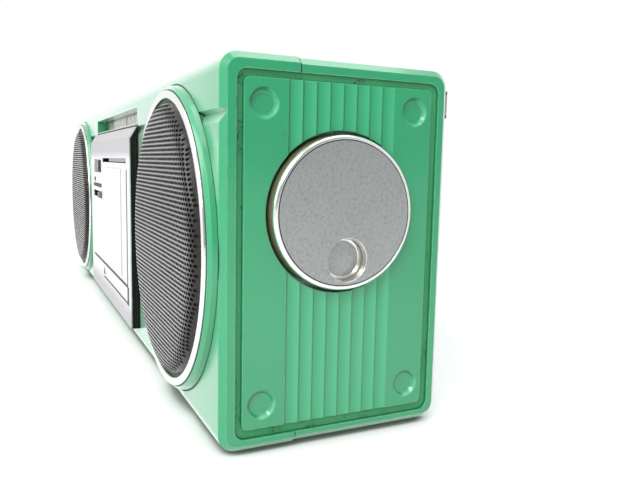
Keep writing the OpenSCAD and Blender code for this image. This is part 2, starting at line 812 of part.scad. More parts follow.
module speaker_rings() {
    r0 = ring_r - ring_w;
    h0 = drum_proud - ring_t;
    color(chrome) place() for (side = [-1, 1]) at_speaker(side) rotate_extrude()
        polygon([[r0, h0], [ring_r, h0], [ring_r, drum_proud - 0.5], [ring_r - 0.5, drum_proud],
            [r0 + 0.8, drum_proud], [r0, drum_proud - 0.4]]);
}

// The grille is a pan with a flat edge: steep near the edge and nearly flat across its middle
grille_r = ring_r - ring_w - 0.2;
grille_h = drum_proud - ring_t - 0.4;
pan_r = grille_r - grille_edge;
pan_steps = 14;

function pan(r) = grille_h + grille_bulge * (1 - pow(r / pan_r, 7));

module speaker_grille(side) {
    radii = [for (i = [0:pan_steps]) pan_r * pow(i / pan_steps, 0.6)];
    outer = [for (r = radii) [r, pan(r)]];
    edge = [[grille_r, grille_h], [grille_r, grille_h - grille_t]];
    inner = [for (i = [pan_steps:-1:0]) [radii[i] * (1 - grille_t / pan_r), pan(radii[i]) - grille_t]];
    color("#4a4644") place() at_speaker(side) rotate_extrude() polygon(concat(outer, edge, inner));
}

module speaker_grille_right() { speaker_grille(1); }

module speaker_grille_left() { speaker_grille(-1); }

// Drivers: a frame behind the front wall, a paper cone with its cap, and a magnet
module speaker_drivers() {
    lip = -wall;
    back = lip - driver_d;
    color("#3c3e40") place() for (side = [-1, 1]) difference() {
        at_speaker(side) rotate_extrude()
            polygon([[speaker_hole_r - 4, lip - 2], [speaker_hole_r - 4, lip], [driver_r, lip],
                [driver_r, lip - 2], [speaker_hole_r - 1, lip - 2], [magnet_r - 4, back + 17],
                [magnet_r - 4, back + 16], [magnet_r, back + 16], [magnet_r, back], [0, back],
                [0, back + 20], [10, back + 19], [12, back + 18]]);
        driver_screws(side) translate([0, 0, lip - 3]) cylinder(r = shank_r + 0.1, h = 4);
    }
}

// Black moulding of the centre panel with the cassette well behind it
module fascia_frame() {
    color(black) place() difference() {
        union() {
            along_x(-panel_w / 2, panel_w / 2)
                polygon([[plinth_y, panel_z0], [frame_y, panel_z0], [frame_y, panel_z1],
                    [frame_y + slope_back, slope_top], [front_y, slope_top], [front_y, panel_z1 + 0.8],
                    [plinth_y, panel_z1 + 0.8]]);
            block(well_x0, well_x1, plinth_y - 0.5, deck_y, well_z0, well_z1);
        }
        block(door_x0, door_x1, frame_y - 1, deck_y + 1, door_z0, door_z1);
        counter_opening(frame_y - 1, plinth_y + 1);
        reset_opening(frame_y - 1, plinth_y + 1);
        slider_opening(frame_y - 1, plinth_y + 1);
        bar_x(door_x0 - 6, door_x1 + 6, hinge_y, hinge_z, door_pin_r + snug);
    }
}

// Bright skin over the front of the panel and over its sloped top
module fascia_plate() {
    run = sqrt(slope_back * slope_back + slope_h * slope_h);
    off = [-slope_h, slope_back] * 0.5 / run;
    step_z = panel_z1 + 0.8;
    step_y = frame_y + off[0] + slope_back * (step_z - panel_z1 - off[1]) / slope_h;
    color(silver) place() difference() {
        along_x(-panel_w / 2, panel_w / 2)
            polygon([[frame_y, panel_z0], [skin_y, panel_z0], [skin_y, step_z], [step_y, step_z],
                [frame_y + slope_back + off[0], slope_top + off[1]], [frame_y + slope_back, slope_top],
                [frame_y, panel_z1]]);
        block(door_x0, door_x1, skin_y - 1, frame_y + 1, door_z0, door_z1);
        counter_opening(skin_y - 1, frame_y + 1);
        reset_opening(skin_y - 1, frame_y + 1);
        slider_opening(skin_y - 1, frame_y + 1);
        block(slot_x0 + 2, door_x0, skin_y - 1, skin_y + skin_t / 2,
            door_line_z - line_h / 2, door_line_z + line_h / 2);
    }
}

module cassette_door() {
    x0 = door_x0 + pass;
    x1 = door_x1 - pass;
    color(silver) place() difference() {
        union() {
            block(x0, x1, skin_y, door_back, hinge_z, door_top);
            bar_x(x0, x1, hinge_y, hinge_z, door_bead_r);
            block(door_x - door_field_w / 2, door_x + door_field_w / 2, skin_y - field_t, skin_y + 0.5,
                door_line_z + 4, door_top - 4);
        }
        block(x0 - 1, x1 + 1, skin_y - 1, skin_y + line_d, door_line_z - line_h / 2, door_line_z + line_h / 2);
        bar_x(x0 - 1, x1 + 1, hinge_y, hinge_z, door_pin_r + fit);
    }
}

module cassette_carrier() {
    rear = deck_y - 4;
    color(black) place() {
        for (s = [-1, 1]) {
            a = door_x + s * carrier_half;
            b = door_x + s * (carrier_half + carrier_t);
            block(min(a, b), max(a, b), door_back, rear, cassette_z0 - 3, cassette_z0 + cassette_h - 2);
        }
        block(door_x - carrier_half - 1, door_x + carrier_half + 1, door_back, rear,
            cassette_z0 - 3, cassette_z0 - carrier_gap);
    }
}

module door_pin() {
    color(steel) place() bar_x(door_x0 - 5.5, door_x1 + 5.5, hinge_y, hinge_z, door_pin_r);
}

// Deck plate with its bearings, rivets and the back plate that carries the motor
module deck_chassis() {
    color(steel) place() difference() {
        union() {
            block(deck_x0, deck_x1, deck_y, deck_back, deck_z0, deck_z1);
            bar_y(cap_x, deck_back - 0.5, flywheel_y - 0.5, capstan_z, capstan_boss_r);
            for (s = [-1, 1]) {
                bar_y(door_x + s * rivet_x, bridge_y - pass, deck_y + 0.5, rivet_z, rivet_r);
                bar_y(door_x + s * rivet_x, bridge_y - pass - 0.8, bridge_y - pass, rivet_z, rivet_r + 1.3);
            }
            block(backplate_x[0], backplate_x[1], backplate_y, backplate_y + backplate_t,
                backplate_z[0], backplate_z[1]);
            for (x = [backplate_x[0] + 4, backplate_x[1] - 4], z = [backplate_z[0] + 4, backplate_z[1] - 4])
                bar_y(x, deck_back - 0.5, backplate_y + 0.5, z, standoff_r);
        }
        bar_y(cap_x, deck_y - 1, flywheel_y, capstan_z, capstan_r + fit);
        for (s = [-1, 1]) bar_y(door_x + s * reel_pitch / 2, deck_y - 1, deck_back + 1, reel_z, reel_shaft_r + fit);
        for (s = [-1, 1], z = deck_boss_z)
            bar_y(door_x + s * deck_boss_x, deck_y - 1, deck_back + 1, z, shank_r + 0.1);
        bar_y(drive_x, backplate_y - 1, backplate_y + backplate_t + 1, drive_z, drive_r);
    }
}

// A reel spindle with its splined head in front of the plate and its table behind
module spindle(s) {
    x = door_x + s * reel_pitch / 2;
    color("#e8e6e0") place() {
        bar_y(x, deck_y - 1, deck_back + 1, reel_z, reel_shaft_r);
        bar_y(x, deck_y - reel_head_l, deck_y - pass, reel_z, reel_head_r);
        for (a = [0:60:120]) translate([x, deck_y - reel_head_l / 2 - 0.2, reel_z]) rotate([0, a, 0])
            cube([2 * reel_head_r + 2.6, reel_head_l - 2, 1.4], center = true);
        bar_y(x, deck_back + pass, deck_back + 3.5, reel_z, reel_table_r);
    }
}

module spindle_supply() { spindle(-1); }

module spindle_takeup() { spindle(1); }

module flywheel() {
    color("#b9a06a") place() {
        bar_y(cap_x, front_y + 1, backplate_y - 0.4, capstan_z, capstan_r);
        bar_y(cap_x, flywheel_y, flywheel_y + flywheel_t, capstan_z, flywheel_r);
    }
}

module motor() {
    face = backplate_y + backplate_t;
    color(steel) place() difference() {
        union() {
            bar_y(drive_x, face, face + motor_l, drive_z, motor_r);
            bar_y(drive_x, face + motor_l - 1, face + motor_l + 2, drive_z, motor_r / 4);
        }
        bar_y(drive_x, face - 1, face + motor_shaft_l + 1, drive_z, motor_shaft_r + fit);
    }
}

module motor_pulley() {
    color("#b9a06a") place() {
        bar_y(drive_x, flywheel_y, backplate_y + backplate_t + motor_shaft_l, drive_z, motor_shaft_r);
        bar_y(drive_x, flywheel_y + 1, flywheel_y + flywheel_t - 1, drive_z, drive_r - 0.6);
    }
}

// Outline of a belt around two wheels: an arc on each, joined by their common tangents
function belt_points(c1, r1, c2, r2) =
    let (d = c2 - c1, l = norm(d), a = atan2(d[1], d[0]), b = acos((r1 - r2) / l), n = 40)
    concat(
        [for (i = [0:n]) c1 + r1 * [cos(a + b + i * (360 - 2 * b) / n), sin(a + b + i * (360 - 2 * b) / n)]],
        [for (i = [0:n]) c2 + r2 * [cos(a - b + i * 2 * b / n), sin(a - b + i * 2 * b / n)]]);

module drive_belt() {
    c1 = [cap_x, capstan_z];
    c2 = [drive_x, drive_z];
    r1 = flywheel_r + pass;
    r2 = drive_r - 0.6 + pass;
    color(black) place() along_y(flywheel_y + 2.5, flywheel_y + 4.5) difference() {
        polygon(belt_points(c1, r1 + belt_t, c2, r2 + belt_t));
        polygon(belt_points(c1, r1, c2, r2));
    }
}

module head_bridge() {
    color(steel) place() difference() {
        union() {
            block(bridge_x0, bridge_x1, bridge_y, bridge_y + bridge_t, bridge_z0, bridge_z1);
            bar_y(cap_x, front_y + 1, bridge_y + 0.5, pinch_z, pinch_pin_r);
        }
        for (s = [-1, 1]) block(door_x + s * rivet_x - rivet_r - fit, door_x + s * rivet_x + rivet_r + fit,
            bridge_y - 1, bridge_y + bridge_t + 1, rivet_z - rivet_r - 0.2, rivet_z + rivet_r + head_travel + 0.2);
    }
}

module tape_heads() {
    color("#c8c2b0") place() {
        block(door_x - 6, door_x + 6, front_y + 1.5, bridge_y, bridge_z0 - 1, bridge_z0 + 8.5);
        block(door_x - 26, door_x - 18, front_y + 1.5, bridge_y, bridge_z0 - 1, bridge_z0 + 6.5);
    }
}

module pinch_roller() {
    color(black) place() difference() {
        bar_y(cap_x, front_y + 2, bridge_y - pass, pinch_z, pinch_r);
        bar_y(cap_x, front_y, bridge_y, pinch_z, pinch_pin_r + fit);
    }
}

// Steel bracket behind the deck plate that carries the shaft of the keys
module key_frame() {
    top = key_axis_z + key_hub_r;
    color(steel) place() {
        for (x = key_plate_x) along_x(x, x + 1.5)
            polygon([[deck_back, deck_z1 - 12], [deck_back, deck_z1], [key_axis_y - 4, top], [key_axis_y + 4, top],
                [key_axis_y + 4, key_axis_z - 4], [deck_back + 6, deck_z1 - 12]]);
        block(key_plate_x[0], key_plate_x[1] + 1.5, deck_back, deck_back + 1.2, deck_z1 - 10, deck_z1 - 1);
        bar_x(key_plate_x[0], key_plate_x[1] + 1.5, key_axis_y, key_axis_z, key_shaft_r);
    }
}

module key(i) {
    x = key_x0 + i * key_pitch;
    pad = cab_h - 5;
    color(silver) place() difference() {
        union() {
            block(x, x + key_w, key_front, key_rear, pad, cab_h + key_proud);
            along_x(x + 0.4, x + key_w - 0.4) polygon([[key_front + 8, pad + 0.5], [key_rear, pad + 0.5],
                [key_axis_y, key_axis_z + key_hub_r - 0.4], [key_axis_y, key_axis_z - key_hub_r + 0.4]]);
            bar_x(x + 0.4, x + key_w - 0.4, key_axis_y, key_axis_z, key_hub_r);
        }
        bar_x(x - 1, x + key_w + 1, key_axis_y, key_axis_z, key_shaft_r + fit);
    }
}

module key_record() { key(0); }

module key_play() { key(1); }

module key_rewind() { key(2); }

module key_fast_forward() { key(3); }

module key_stop_eject() { key(4); }

module key_pause() { key(5); }

// Bracket behind the front wall with the axle of the number wheels
module counter_housing() {
    a = counter_x - cheek_t;
    b = counter_x1 + cheek_t;
    color(black) place() {
        block(a, counter_x, plinth_y + 0.3, housing_back, housing_z0, housing_z1);
        block(counter_x1, b, plinth_y + 0.3, housing_back, housing_z0, housing_z1);
        block(a, b, housing_back - 1.2, housing_back, housing_z0, housing_z1);
        block(a - 5, a + 0.4, front_in, front_in + 1.2, housing_z0, housing_z1);
        bar_x(a, b, wheel_y, counter_z, axle_r);
    }
}

module counter_wheel(i) {
    x = counter_x + 0.8 + 0.3 + i * (wheel_w + 0.6);
    color("#f0f0ec") place() difference() {
        bar_x(x, x + wheel_w, wheel_y, counter_z, wheel_r);
        bar_x(x - 1, x + wheel_w + 1, wheel_y, counter_z, axle_r + fit);
    }
}

module counter_wheel_hundreds() { counter_wheel(0); }

module counter_wheel_tens() { counter_wheel(1); }

module counter_wheel_units() { counter_wheel(2); }

module reset_button() {
    color(black) place() {
        block(reset_x0, reset_x0 + reset_w, skin_y - 1, front_in + 0.5, reset_z0, reset_z1);
        block(reset_x0 - 1, reset_x0 + reset_w + 1.2, front_in, front_in + 1.2, reset_z0 - 1.2, reset_z1 + 1.2);
    }
}

module front_slider() {
    x1 = slot_x1 - 1.5;
    color("#8a8c90") place() {
        block(x1 - slider_w, x1, skin_y - 2.4, skin_y - 0.2, slot_z - slot_h / 2 + 0.3, slot_z + slot_h / 2 - 0.3);
        block(x1 - slider_w + 2, x1 - 2, skin_y - 0.5, front_in + 3, slot_z - 0.8, slot_z + 0.8);
    }
}

// Clear windows of the dial and of the counter
module windows() {
    color([0.9, 0.95, 0.95, 0.4]) place() {
        block(-dial_w / 2 - tunnel_t, dial_w / 2 + tunnel_t, tunnel_y, tunnel_y + lens_t,
            dial_z0 - tunnel_t, dial_z1 + tunnel_t);
        block(counter_x + 0.1, counter_x1 - 0.1, skin_y, skin_y + lens_t, counter_z0 + 0.1, counter_z1 - 0.1);
    }
}

// Scale plate with the two ears and the rail that guide the pointer
module dial_scale() {
    color(amber) place() difference() {
        union() {
            block(-scale_half, scale_half, scale_y, dial_back, scale_z0, scale_z1);
            for (s = [-1, 1]) block(s * ear_x - 1, s * ear_x + 1, rail_y - 1.2, scale_y + 0.5,
                scale_z0, dial_z0 - tunnel_t - 0.2);
            bar_x(-ear_x, ear_x, rail_y, rail_z, rail_r);
        }
        for (s = [-1, 1]) bar_y(s * scale_boss_x, scale_y - 1, dial_back + 1, scale_boss_z, shank_r + 0.1);
    }
}

module dial_pointer() {
    low = rail_z - 1.6;
    color("#c8402c") place() difference() {
        union() {
            block(-4, 4, rail_y - 1.5, scale_y - pass, low, rail_z + 1.6);
            block(-needle_w / 2, needle_w / 2, rail_y + 0.2, scale_y - pass, rail_z + 1, dial_z1 - 0.4);
        }
        bar_x(-5, 5, rail_y, rail_z, rail_r + fit);
    }
}

// A cap on the top and its stem
module top_slider(x, l) {
    color("#d8dadc") place() {
        block(x - l / 2, x + l / 2, control_y - cap_w / 2, control_y + cap_w / 2,
            cab_h + cap_float, cab_h + cap_float + cap_h);
        block(x - stem_l / 2, x + stem_l / 2, control_y - stem_w / 2, control_y + stem_w / 2,
            top_in - 3.5, cab_h + cap_float + 0.5);
    }
}

module volume_slider() { top_slider(-top_control_x, cap_l); }

module function_switch() { top_slider(top_control_x, cap_l - 2); }

// Bodies of the two top controls and of the front slider
module control_bodies() {
    color("#6e7276") place() {
        top_body(-top_control_x, volume_slot);
        top_body(top_control_x, switch_slot);
        difference() {
            block(slot_x0 - 2, slot_x1 + 0.8, front_in, front_in + pot_d, slot_z - 6, slot_z + 6);
            block(slot_x0, slot_x1, front_in - 1, front_in + 4, slot_z - 1.2, slot_z + 1.2);
        }
    }
}

module top_body(x, l) {
    difference() {
        block(x - l / 2 - 8, x + l / 2 + 8, control_y - 4, control_y + 4, top_in - body_h, top_in);
        slit(x, l, top_in - 4.2, top_in + 1);
    }
}

// Clevis on the rear face that carries the antenna's turret
module antenna_bracket() {
    z0 = antenna_z - bracket_h / 2;
    z1 = antenna_z + bracket_h / 2;
    color(chrome) place() difference() {
        union() {
            block(turret_x - 3.4, turret_x + 3.4, rear_y, rear_y + 0.4, z0, z1);
            for (z = [z0, z1 - leg_t]) {
                block(turret_x - turret_r, turret_x + turret_r, rear_y, turret_y, z, z + leg_t);
                bar_z(turret_x, turret_y, z, z + leg_t, turret_r);
            }
        }
        bar_z(turret_x, turret_y, z0 - 1, z1 + 1, 1 + fit);
    }
}

module antenna_turret() {
    z0 = antenna_z - bracket_h / 2;
    z1 = antenna_z + bracket_h / 2;
    color(chrome) place() difference() {
        union() {
            bar_z(turret_x, turret_y, z0 + leg_t + pass, z1 - leg_t - pass, turret_r);
            bar_z(turret_x, turret_y, z0 + 0.2, z1 - 0.2, 1);
            block(tilt_x, turret_x, turret_y - tongue_t / 2, turret_y + tongue_t / 2,
                antenna_z - tongue_r, antenna_z + tongue_r);
            bar_y(tilt_x, turret_y - tongue_t / 2, turret_y + tongue_t / 2, antenna_z, tongue_r);
        }
        bar_y(tilt_x, turret_y - 3, turret_y + 3, antenna_z, tilt_pin_r + fit);
    }
}

// Widest section: a fork on the tilt pin, then a tube open at its far end
module antenna_base() {
    color(chrome) place() {
        difference() {
            bar_x(tilt_x - antenna_l, tilt_x + 2, turret_y, antenna_z, antenna_r);
            block(tilt_x - 3.2, tilt_x + 3, turret_y - tongue_t / 2 - 0.1, turret_y + tongue_t / 2 + 0.1,
                antenna_z - 4, antenna_z + 4);
            bar_x(tilt_x - antenna_l - 1, tilt_x - 8, turret_y, antenna_z, antenna_r - antenna_wall);
        }
        bar_y(tilt_x, turret_y - antenna_r + 0.4, turret_y + antenna_r - 0.4, antenna_z, tilt_pin_r);
    }
}

module antenna_mid() {
    color(chrome) place() difference() {
        bar_x(tilt_x - antenna_l - 1.5, tilt_x - 10, turret_y, antenna_z, mid_r);
        bar_x(tilt_x - antenna_l - 3, tilt_x - 12, turret_y, antenna_z, mid_r - antenna_wall);
    }
}

module antenna_tip() {
    color(chrome) place() {
        bar_x(tilt_x - antenna_l - 3, tilt_x - 14, turret_y, antenna_z, tip_r);
        bar_x(tilt_x - antenna_l - 2 - button_l, tilt_x - antenna_l - 2, turret_y, antenna_z, button_r);
    }
}

// Open box behind the rear wall for the cells, with posts for the board
module battery_box() {
    color(black) place() {
        difference() {
            block(-bay_x - box_t, bay_x + box_t, bay_front - box_t, rear_in, bay_z0 - box_t, bay_z1 + box_t);
            block(-bay_x, bay_x, bay_front, rear_in + 1, bay_z0, bay_z1);
        }
        for (x = [-bay_x + 18, bay_x - 18], y = [board_y0 + 6, board_y1 - 4])
            bar_z(x, y, bay_z1 + box_t - 0.5, board_z, 3);
    }
}

module battery_cover() {
    x = bay_x - pass;
    color(cabinet_green) place() difference() {
        union() {
            block(-x, x, rear_in, rear_y, cover_axis_z, bay_z1 - pass);
            bar_x(-x, x, cover_axis_y, cover_axis_z, cover_bead_r);
            bar_x(-x - 4, x + 4, cover_axis_y, cover_axis_z, cover_pin_r);
        }
        // finger scoop at the top and grip lines below it
        translate([0, rear_y + 8, bay_z1 - 8]) rotate([0, 90, 0]) cylinder(r = 9.6, h = 30, center = true);
        for (i = [0:3]) block(-20, 20, rear_y - 0.6, rear_y + 1, bay_z1 - 22 - i * 4, bay_z1 - 20.5 - i * 4);
    }
}

// Contact leaves at the top and bottom of the six cells
module battery_contacts() {
    pitch = bay_w / 6;
    color(steel) place() for (i = [0:5], z = [bay_z0, bay_z1 - 0.8])
        block((i - 2.5) * pitch - 11, (i - 2.5) * pitch + 11, bay_front + 4, rear_in - 7, z, z + 0.8);
}

// Board with its tuning gang, coil cans, capacitors and output chip
module main_board() {
    top = board_z + board_t;
    color("#3d7a4a") place() difference() {
        union() {
            block(board_x0, board_x1, board_y0, board_y1, board_z, top);
            block(gang_x0, board_x1, drum_y - 9, drum_y + 9, top - 0.5, drum_axis_z + 9);
            for (i = [0:4]) block(110 + i * 16, 118 + i * 16, board_y0 + 8, board_y0 + 16, top - 0.5, top + 12);
            for (i = [0:4]) bar_z(-80 + i * 34, board_y1 - 10, top - 0.5, top + 20, 7);
            for (i = [0:2]) block(-70 + i * 44, -48 + i * 44, board_y0 + 3, board_y0 + 10, top - 0.5, top + 4);
            block(62, 100, board_y0 + 2, board_y0 + 5, top - 0.5, top + 24);
        }
        bar_x(gang_x0 + 10, board_x1 + 1, drum_y, drum_axis_z, shaft_r + fit);
    }
}

module transformer() {
    color("#5a5c60") place() {
        block(core_x0, core_x0 + core_w, core_y0, core_y0 + core_d, wall, wall + core_h);
        block(core_x0 + 6, core_x0 + core_w - 6, core_y0 - 6, core_y0 + core_d + 6, wall + 8, wall + core_h - 8);
    }
}

// Mains inlet: a shrouded pair of pins
module mains_inlet() {
    w = inlet_w / 2;
    h = inlet_h / 2;
    color(black) place() translate([inlet_x, rear_y, inlet_z]) {
        difference() {
            union() {
                block(-w, w, -socket_d - 3, 0.5, -h, h);
                block(-w - 2, w + 2, 0, 1.2, -h - 2, h + 2);
            }
            block(-w + 1.5, w - 1.5, -socket_d, 2, -h + 1.5, h - 1.5);
        }
        for (s = [-1, 1]) bar_y(s * pin_x, -socket_d - 1, -4, 0, pin_r);
    }
}

module jack_panel() {
    half = jack_pitch / 2;
    color(black) place() translate([jack_x, rear_y, jack_z]) difference() {
        union() {
            for (s = [-1, 1]) bar_y(s * half, -socket_d - 2, 0.5, 0, jack_sleeve_r);
            block(-half - 9, half + 9, 0, 1, -8, 8);
        }
        for (s = [-1, 1]) bar_y(s * half, -socket_d, 2, 0, jack_r);
    }
}

module feet() {
    color(black) place() for (s = [-1, 1]) {
        bar_z(s * foot_x, front_y + 15, -foot_h, 0, foot_r);
        bar_z(s * foot_x, rear_y - 14, -foot_h, shell_step, foot_r);
    }
}

// Screws of the case, the deck, the dial and the speakers
module screws() {
    color(steel) place() {
        for (p = posts) screw(p[0], screw_seat, p[1], screw_seat - seam_y + 9);
        for (s = [-1, 1], z = deck_boss_z) screw(door_x + s * deck_boss_x, deck_back, z, 8);
        for (s = [-1, 1]) screw(s * scale_boss_x, dial_back, scale_boss_z, 4.5);
        for (side = [-1, 1]) driver_screws(side) {
            translate([0, 0, -wall - 3.8]) cylinder(r = 2.4, h = 1.8);
            translate([0, 0, -wall - 2.5]) cylinder(r = shank_r, h = 3.8);
        }
    }
}

// A screw that points forward, its head seated at y
module screw(x, y, z, l) {
    bar_y(x, y, y + 1.8, z, 2.4);
    bar_y(x, y - l, y + 0.5, z, shank_r);
}

front_shell();
rear_shell();
end_panel_right();
end_panel_left();
tuning_knob();
tuning_shaft();
shaft_bush();
tuning_drum();
speaker_rings();
speaker_grille_right();
speaker_grille_left();
speaker_drivers();
fascia_frame();
fascia_plate();
cassette_door();
cassette_carrier();
door_pin();
deck_chassis();
spindle_supply();
spindle_takeup();
flywheel();
motor();
motor_pulley();
drive_belt();
head_bridge();
tape_heads();
pinch_roller();
key_frame();
key_record();
key_play();
key_rewind();
key_fast_forward();
key_stop_eject();
key_pause();
counter_housing();
counter_wheel_units();
counter_wheel_tens();
counter_wheel_hundreds();
reset_button();
front_slider();
windows();
dial_scale();
dial_pointer();
volume_slider();
function_switch();
control_bodies();
antenna_bracket();
antenna_turret();
antenna_base();
antenna_mid();
antenna_tip();
battery_box();
battery_cover();
battery_contacts();
main_board();
transformer();
mains_inlet();
jack_panel();
feet();
screws();
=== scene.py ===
# %% [markdown]
# # A green radio cassette player
#
# The solids of this player come packed from its part file, already in place and in metres. This lesson
# dresses them: it keeps the solids whose shape is right and gives them a finish, and it works out new
# surfaces with numpy for the pieces whose look depends on fine form, such as the perforated speaker pans,
# the bright rings, the big tuning wheel, the keys and the print on the dial.

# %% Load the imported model
import json
import math

import bpy
import numpy as np
from mathutils import Matrix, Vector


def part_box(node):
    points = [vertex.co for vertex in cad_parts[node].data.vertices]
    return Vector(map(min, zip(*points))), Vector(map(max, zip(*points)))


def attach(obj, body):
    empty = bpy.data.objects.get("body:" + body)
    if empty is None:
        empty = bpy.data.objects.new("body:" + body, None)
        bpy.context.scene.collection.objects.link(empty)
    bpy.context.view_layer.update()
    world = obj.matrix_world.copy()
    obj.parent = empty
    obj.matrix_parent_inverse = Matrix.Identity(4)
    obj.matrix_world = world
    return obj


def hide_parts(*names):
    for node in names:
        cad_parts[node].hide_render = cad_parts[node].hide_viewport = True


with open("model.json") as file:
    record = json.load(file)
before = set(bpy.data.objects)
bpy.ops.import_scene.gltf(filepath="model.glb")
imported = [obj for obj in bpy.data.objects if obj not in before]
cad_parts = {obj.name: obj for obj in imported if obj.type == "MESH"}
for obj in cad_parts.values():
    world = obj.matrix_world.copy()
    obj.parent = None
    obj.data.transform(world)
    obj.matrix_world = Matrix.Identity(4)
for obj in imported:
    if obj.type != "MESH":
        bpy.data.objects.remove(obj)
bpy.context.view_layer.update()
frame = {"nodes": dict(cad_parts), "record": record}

# %% [markdown]
# ## One frame for everything
#
# The maker's drawing counts in millimetres from the middle of the cabinet's bottom: X to the right seen from
# the front, Y to the rear, Z up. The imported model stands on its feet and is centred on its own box. We could
# shift every number by hand, but reading two solids' boxes once lets the drawing's numbers stay as they are.

# %% From drawing millimetres to the model's metres
MM = 0.001
CAB_L, CAB_D = 522.0, 105.0
FRONT, REAR, END = -CAB_D / 2, CAB_D / 2, CAB_L / 2
shell_lo, shell_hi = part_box("front_shell")
cover_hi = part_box("battery_cover")[1]
ORIGIN = np.array([(shell_lo.x + shell_hi.x) / 2, cover_hi.y - REAR * MM, shell_lo.z])
print("drawing origin in the model, mm:", np.round(ORIGIN / MM, 3))


def model(points):
    """Drawing millimetres to model metres: scale by 0.001, then add the drawing's origin."""
    return ORIGIN + np.asarray(points, float) * MM


def drawn_box(name):
    """A solid's lowest and highest corner in drawing millimetres."""
    return (np.array([tuple(c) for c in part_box(name)]) - ORIGIN) / MM


# %% [markdown]
# ## The camera
#
# The picture was taken close to the right end, a little below the top edge, with a wide lens. The place and
# the three axes were worked out from corners whose place on the cabinet is known, so the camera is set as a
# matrix whose columns are its right, up and back directions, and not by aiming it at a target.

# %% Camera
camera_data = bpy.data.cameras.new("camera")
camera_data.sensor_fit = "HORIZONTAL"
camera_data.sensor_width = 36.0
camera_data.lens = 36.32
camera_data.clip_start = 0.005
camera = bpy.data.objects.new("camera", camera_data)
bpy.context.scene.collection.objects.link(camera)
CAMERA_PLACE = (498.6, FRONT - 73.7, 117.3)
RIGHT, UP, BACK = (0.43717, 0.89912, 0.02133), (-0.11536, 0.03254, 0.99279), (0.89195, -0.43648, 0.11795)
camera_matrix = np.eye(4)
camera_matrix[:3, :4] = np.column_stack([RIGHT, UP, BACK, model(CAMERA_PLACE)])
camera.matrix_world = Matrix(camera_matrix.tolist())
bpy.context.scene.camera = camera
print("camera at", np.round(camera_matrix[:3, 3], 4))

# %% [markdown]
# ## Colours and nodes
#
# Blender's sockets want linear light, while a listed colour is coded for a screen. One small function
# undoes the screen's curve, so that the colours below can be written as the familiar 0 to 255 numbers. The other
# helpers place a node, an arithmetic step, a smooth step or a colour mix with one line each, because the world, the
# floor and every finish are made of the same few nodes.

# %% Colour and node helpers


def tint(r, g, b):
    """Each channel c in 0..1 becomes c/12.92 below 0.04045 and ((c+0.055)/1.055)^2.4 above it."""
    c = np.array([r, g, b], float) / 255
    lin = np.where(c <= 0.04045, c / 12.92, ((c + 0.055) / 1.055) ** 2.4)
    return (*lin.tolist(), 1.0)


def feed(tree, socket, value):
    """Links a socket to a value that is a socket, or sets its number or colour."""
    if isinstance(value, bpy.types.NodeSocket):
        tree.links.new(value, socket)
    else:
        socket.default_value = value


def node(tree, kind, values=None, **settings):
    """A node of one kind; settings are its properties, values its sockets' numbers or links."""
    made = tree.nodes.new("ShaderNode" + kind)
    for key, value in settings.items():
        setattr(made, key, value)
    for socket, value in (values or {}).items():
        feed(tree, made.inputs[socket], value)
    return made


def math_node(tree, operation, a, b=0.0, c=0.0, clamp=False):
    """One arithmetic step on two or three sockets or numbers."""
    return node(tree, "Math", {0: a, 1: b, 2: c}, operation=operation, use_clamp=clamp).outputs[0]


def times(tree, a, b):
    """The product of two sockets or numbers; of two masks, the part where both are set."""
    return math_node(tree, "MULTIPLY", a, b)


def ramp(tree, value, low, high):
    """A smooth step: 0 before low, 1 past high, and a cubic ease between them; low may be the larger of the two."""
    span = {"Value": value, "From Min": low, "From Max": high}
    return node(tree, "MapRange", span, interpolation_type="SMOOTHSTEP").outputs["Result"]


def mix(tree, factor, a, b):
    """A colour between a and b; factor, a and b are sockets or plain values."""
    made = node(tree, "Mix", {0: factor, 6: a, 7: b}, data_type="RGBA", clamp_factor=True)
    return made.outputs[2]


print("screen grey 128 as linear light:", round(tint(128, 128, 128)[0], 3))

# %% [markdown]
# ## Studio
#
# The picture has a pure white ground with a soft shadow along the foot of the cabinet. A white floor lit until it
# burns out would also burn out the silver panel. So the world and the floor are white only for rays that come from
# the camera, from gloss or through glass, and the lamps stay at a plain level. The room behind the camera is
# darker: there, and only for gloss, the world falls to grey, which keeps the end's green deep and the wheel grey.

# %% World


def shown(tree, ray):
    """1 for a ray from the camera, from gloss or through glass, and 0 for any other."""
    direct = math_node(tree, "MAXIMUM", ray["Is Camera Ray"], ray["Is Glossy Ray"])
    return math_node(tree, "MAXIMUM", direct, ray["Is Transmission Ray"])


world = bpy.data.worlds.new("studio")
bpy.context.scene.world = world
world.use_nodes = True
sky = world.node_tree
sky.nodes.clear()
ray = node(sky, "LightPath").outputs
way = node(sky, "SeparateXYZ", {0: node(sky, "TexCoord").outputs["Generated"]}).outputs
room = times(sky, ramp(sky, way["X"], 0.5, 0.85), ray["Is Glossy Ray"])
fill = node(sky, "Background", {"Color": (0.95, 0.98, 1.0, 1), "Strength": 0.42})
white = node(sky, "Background", {"Color": mix(sky, room, (1, 1, 1, 1), (0.36, 0.37, 0.37, 1)), "Strength": 1.0})
sky_mix = node(sky, "MixShader", {0: shown(sky, ray), 1: fill.outputs[0], 2: white.outputs[0]})
node(sky, "OutputWorld", {"Surface": sky_mix.outputs[0]})
print("world:", world.name, len(sky.nodes), "nodes")

# %% Lamps


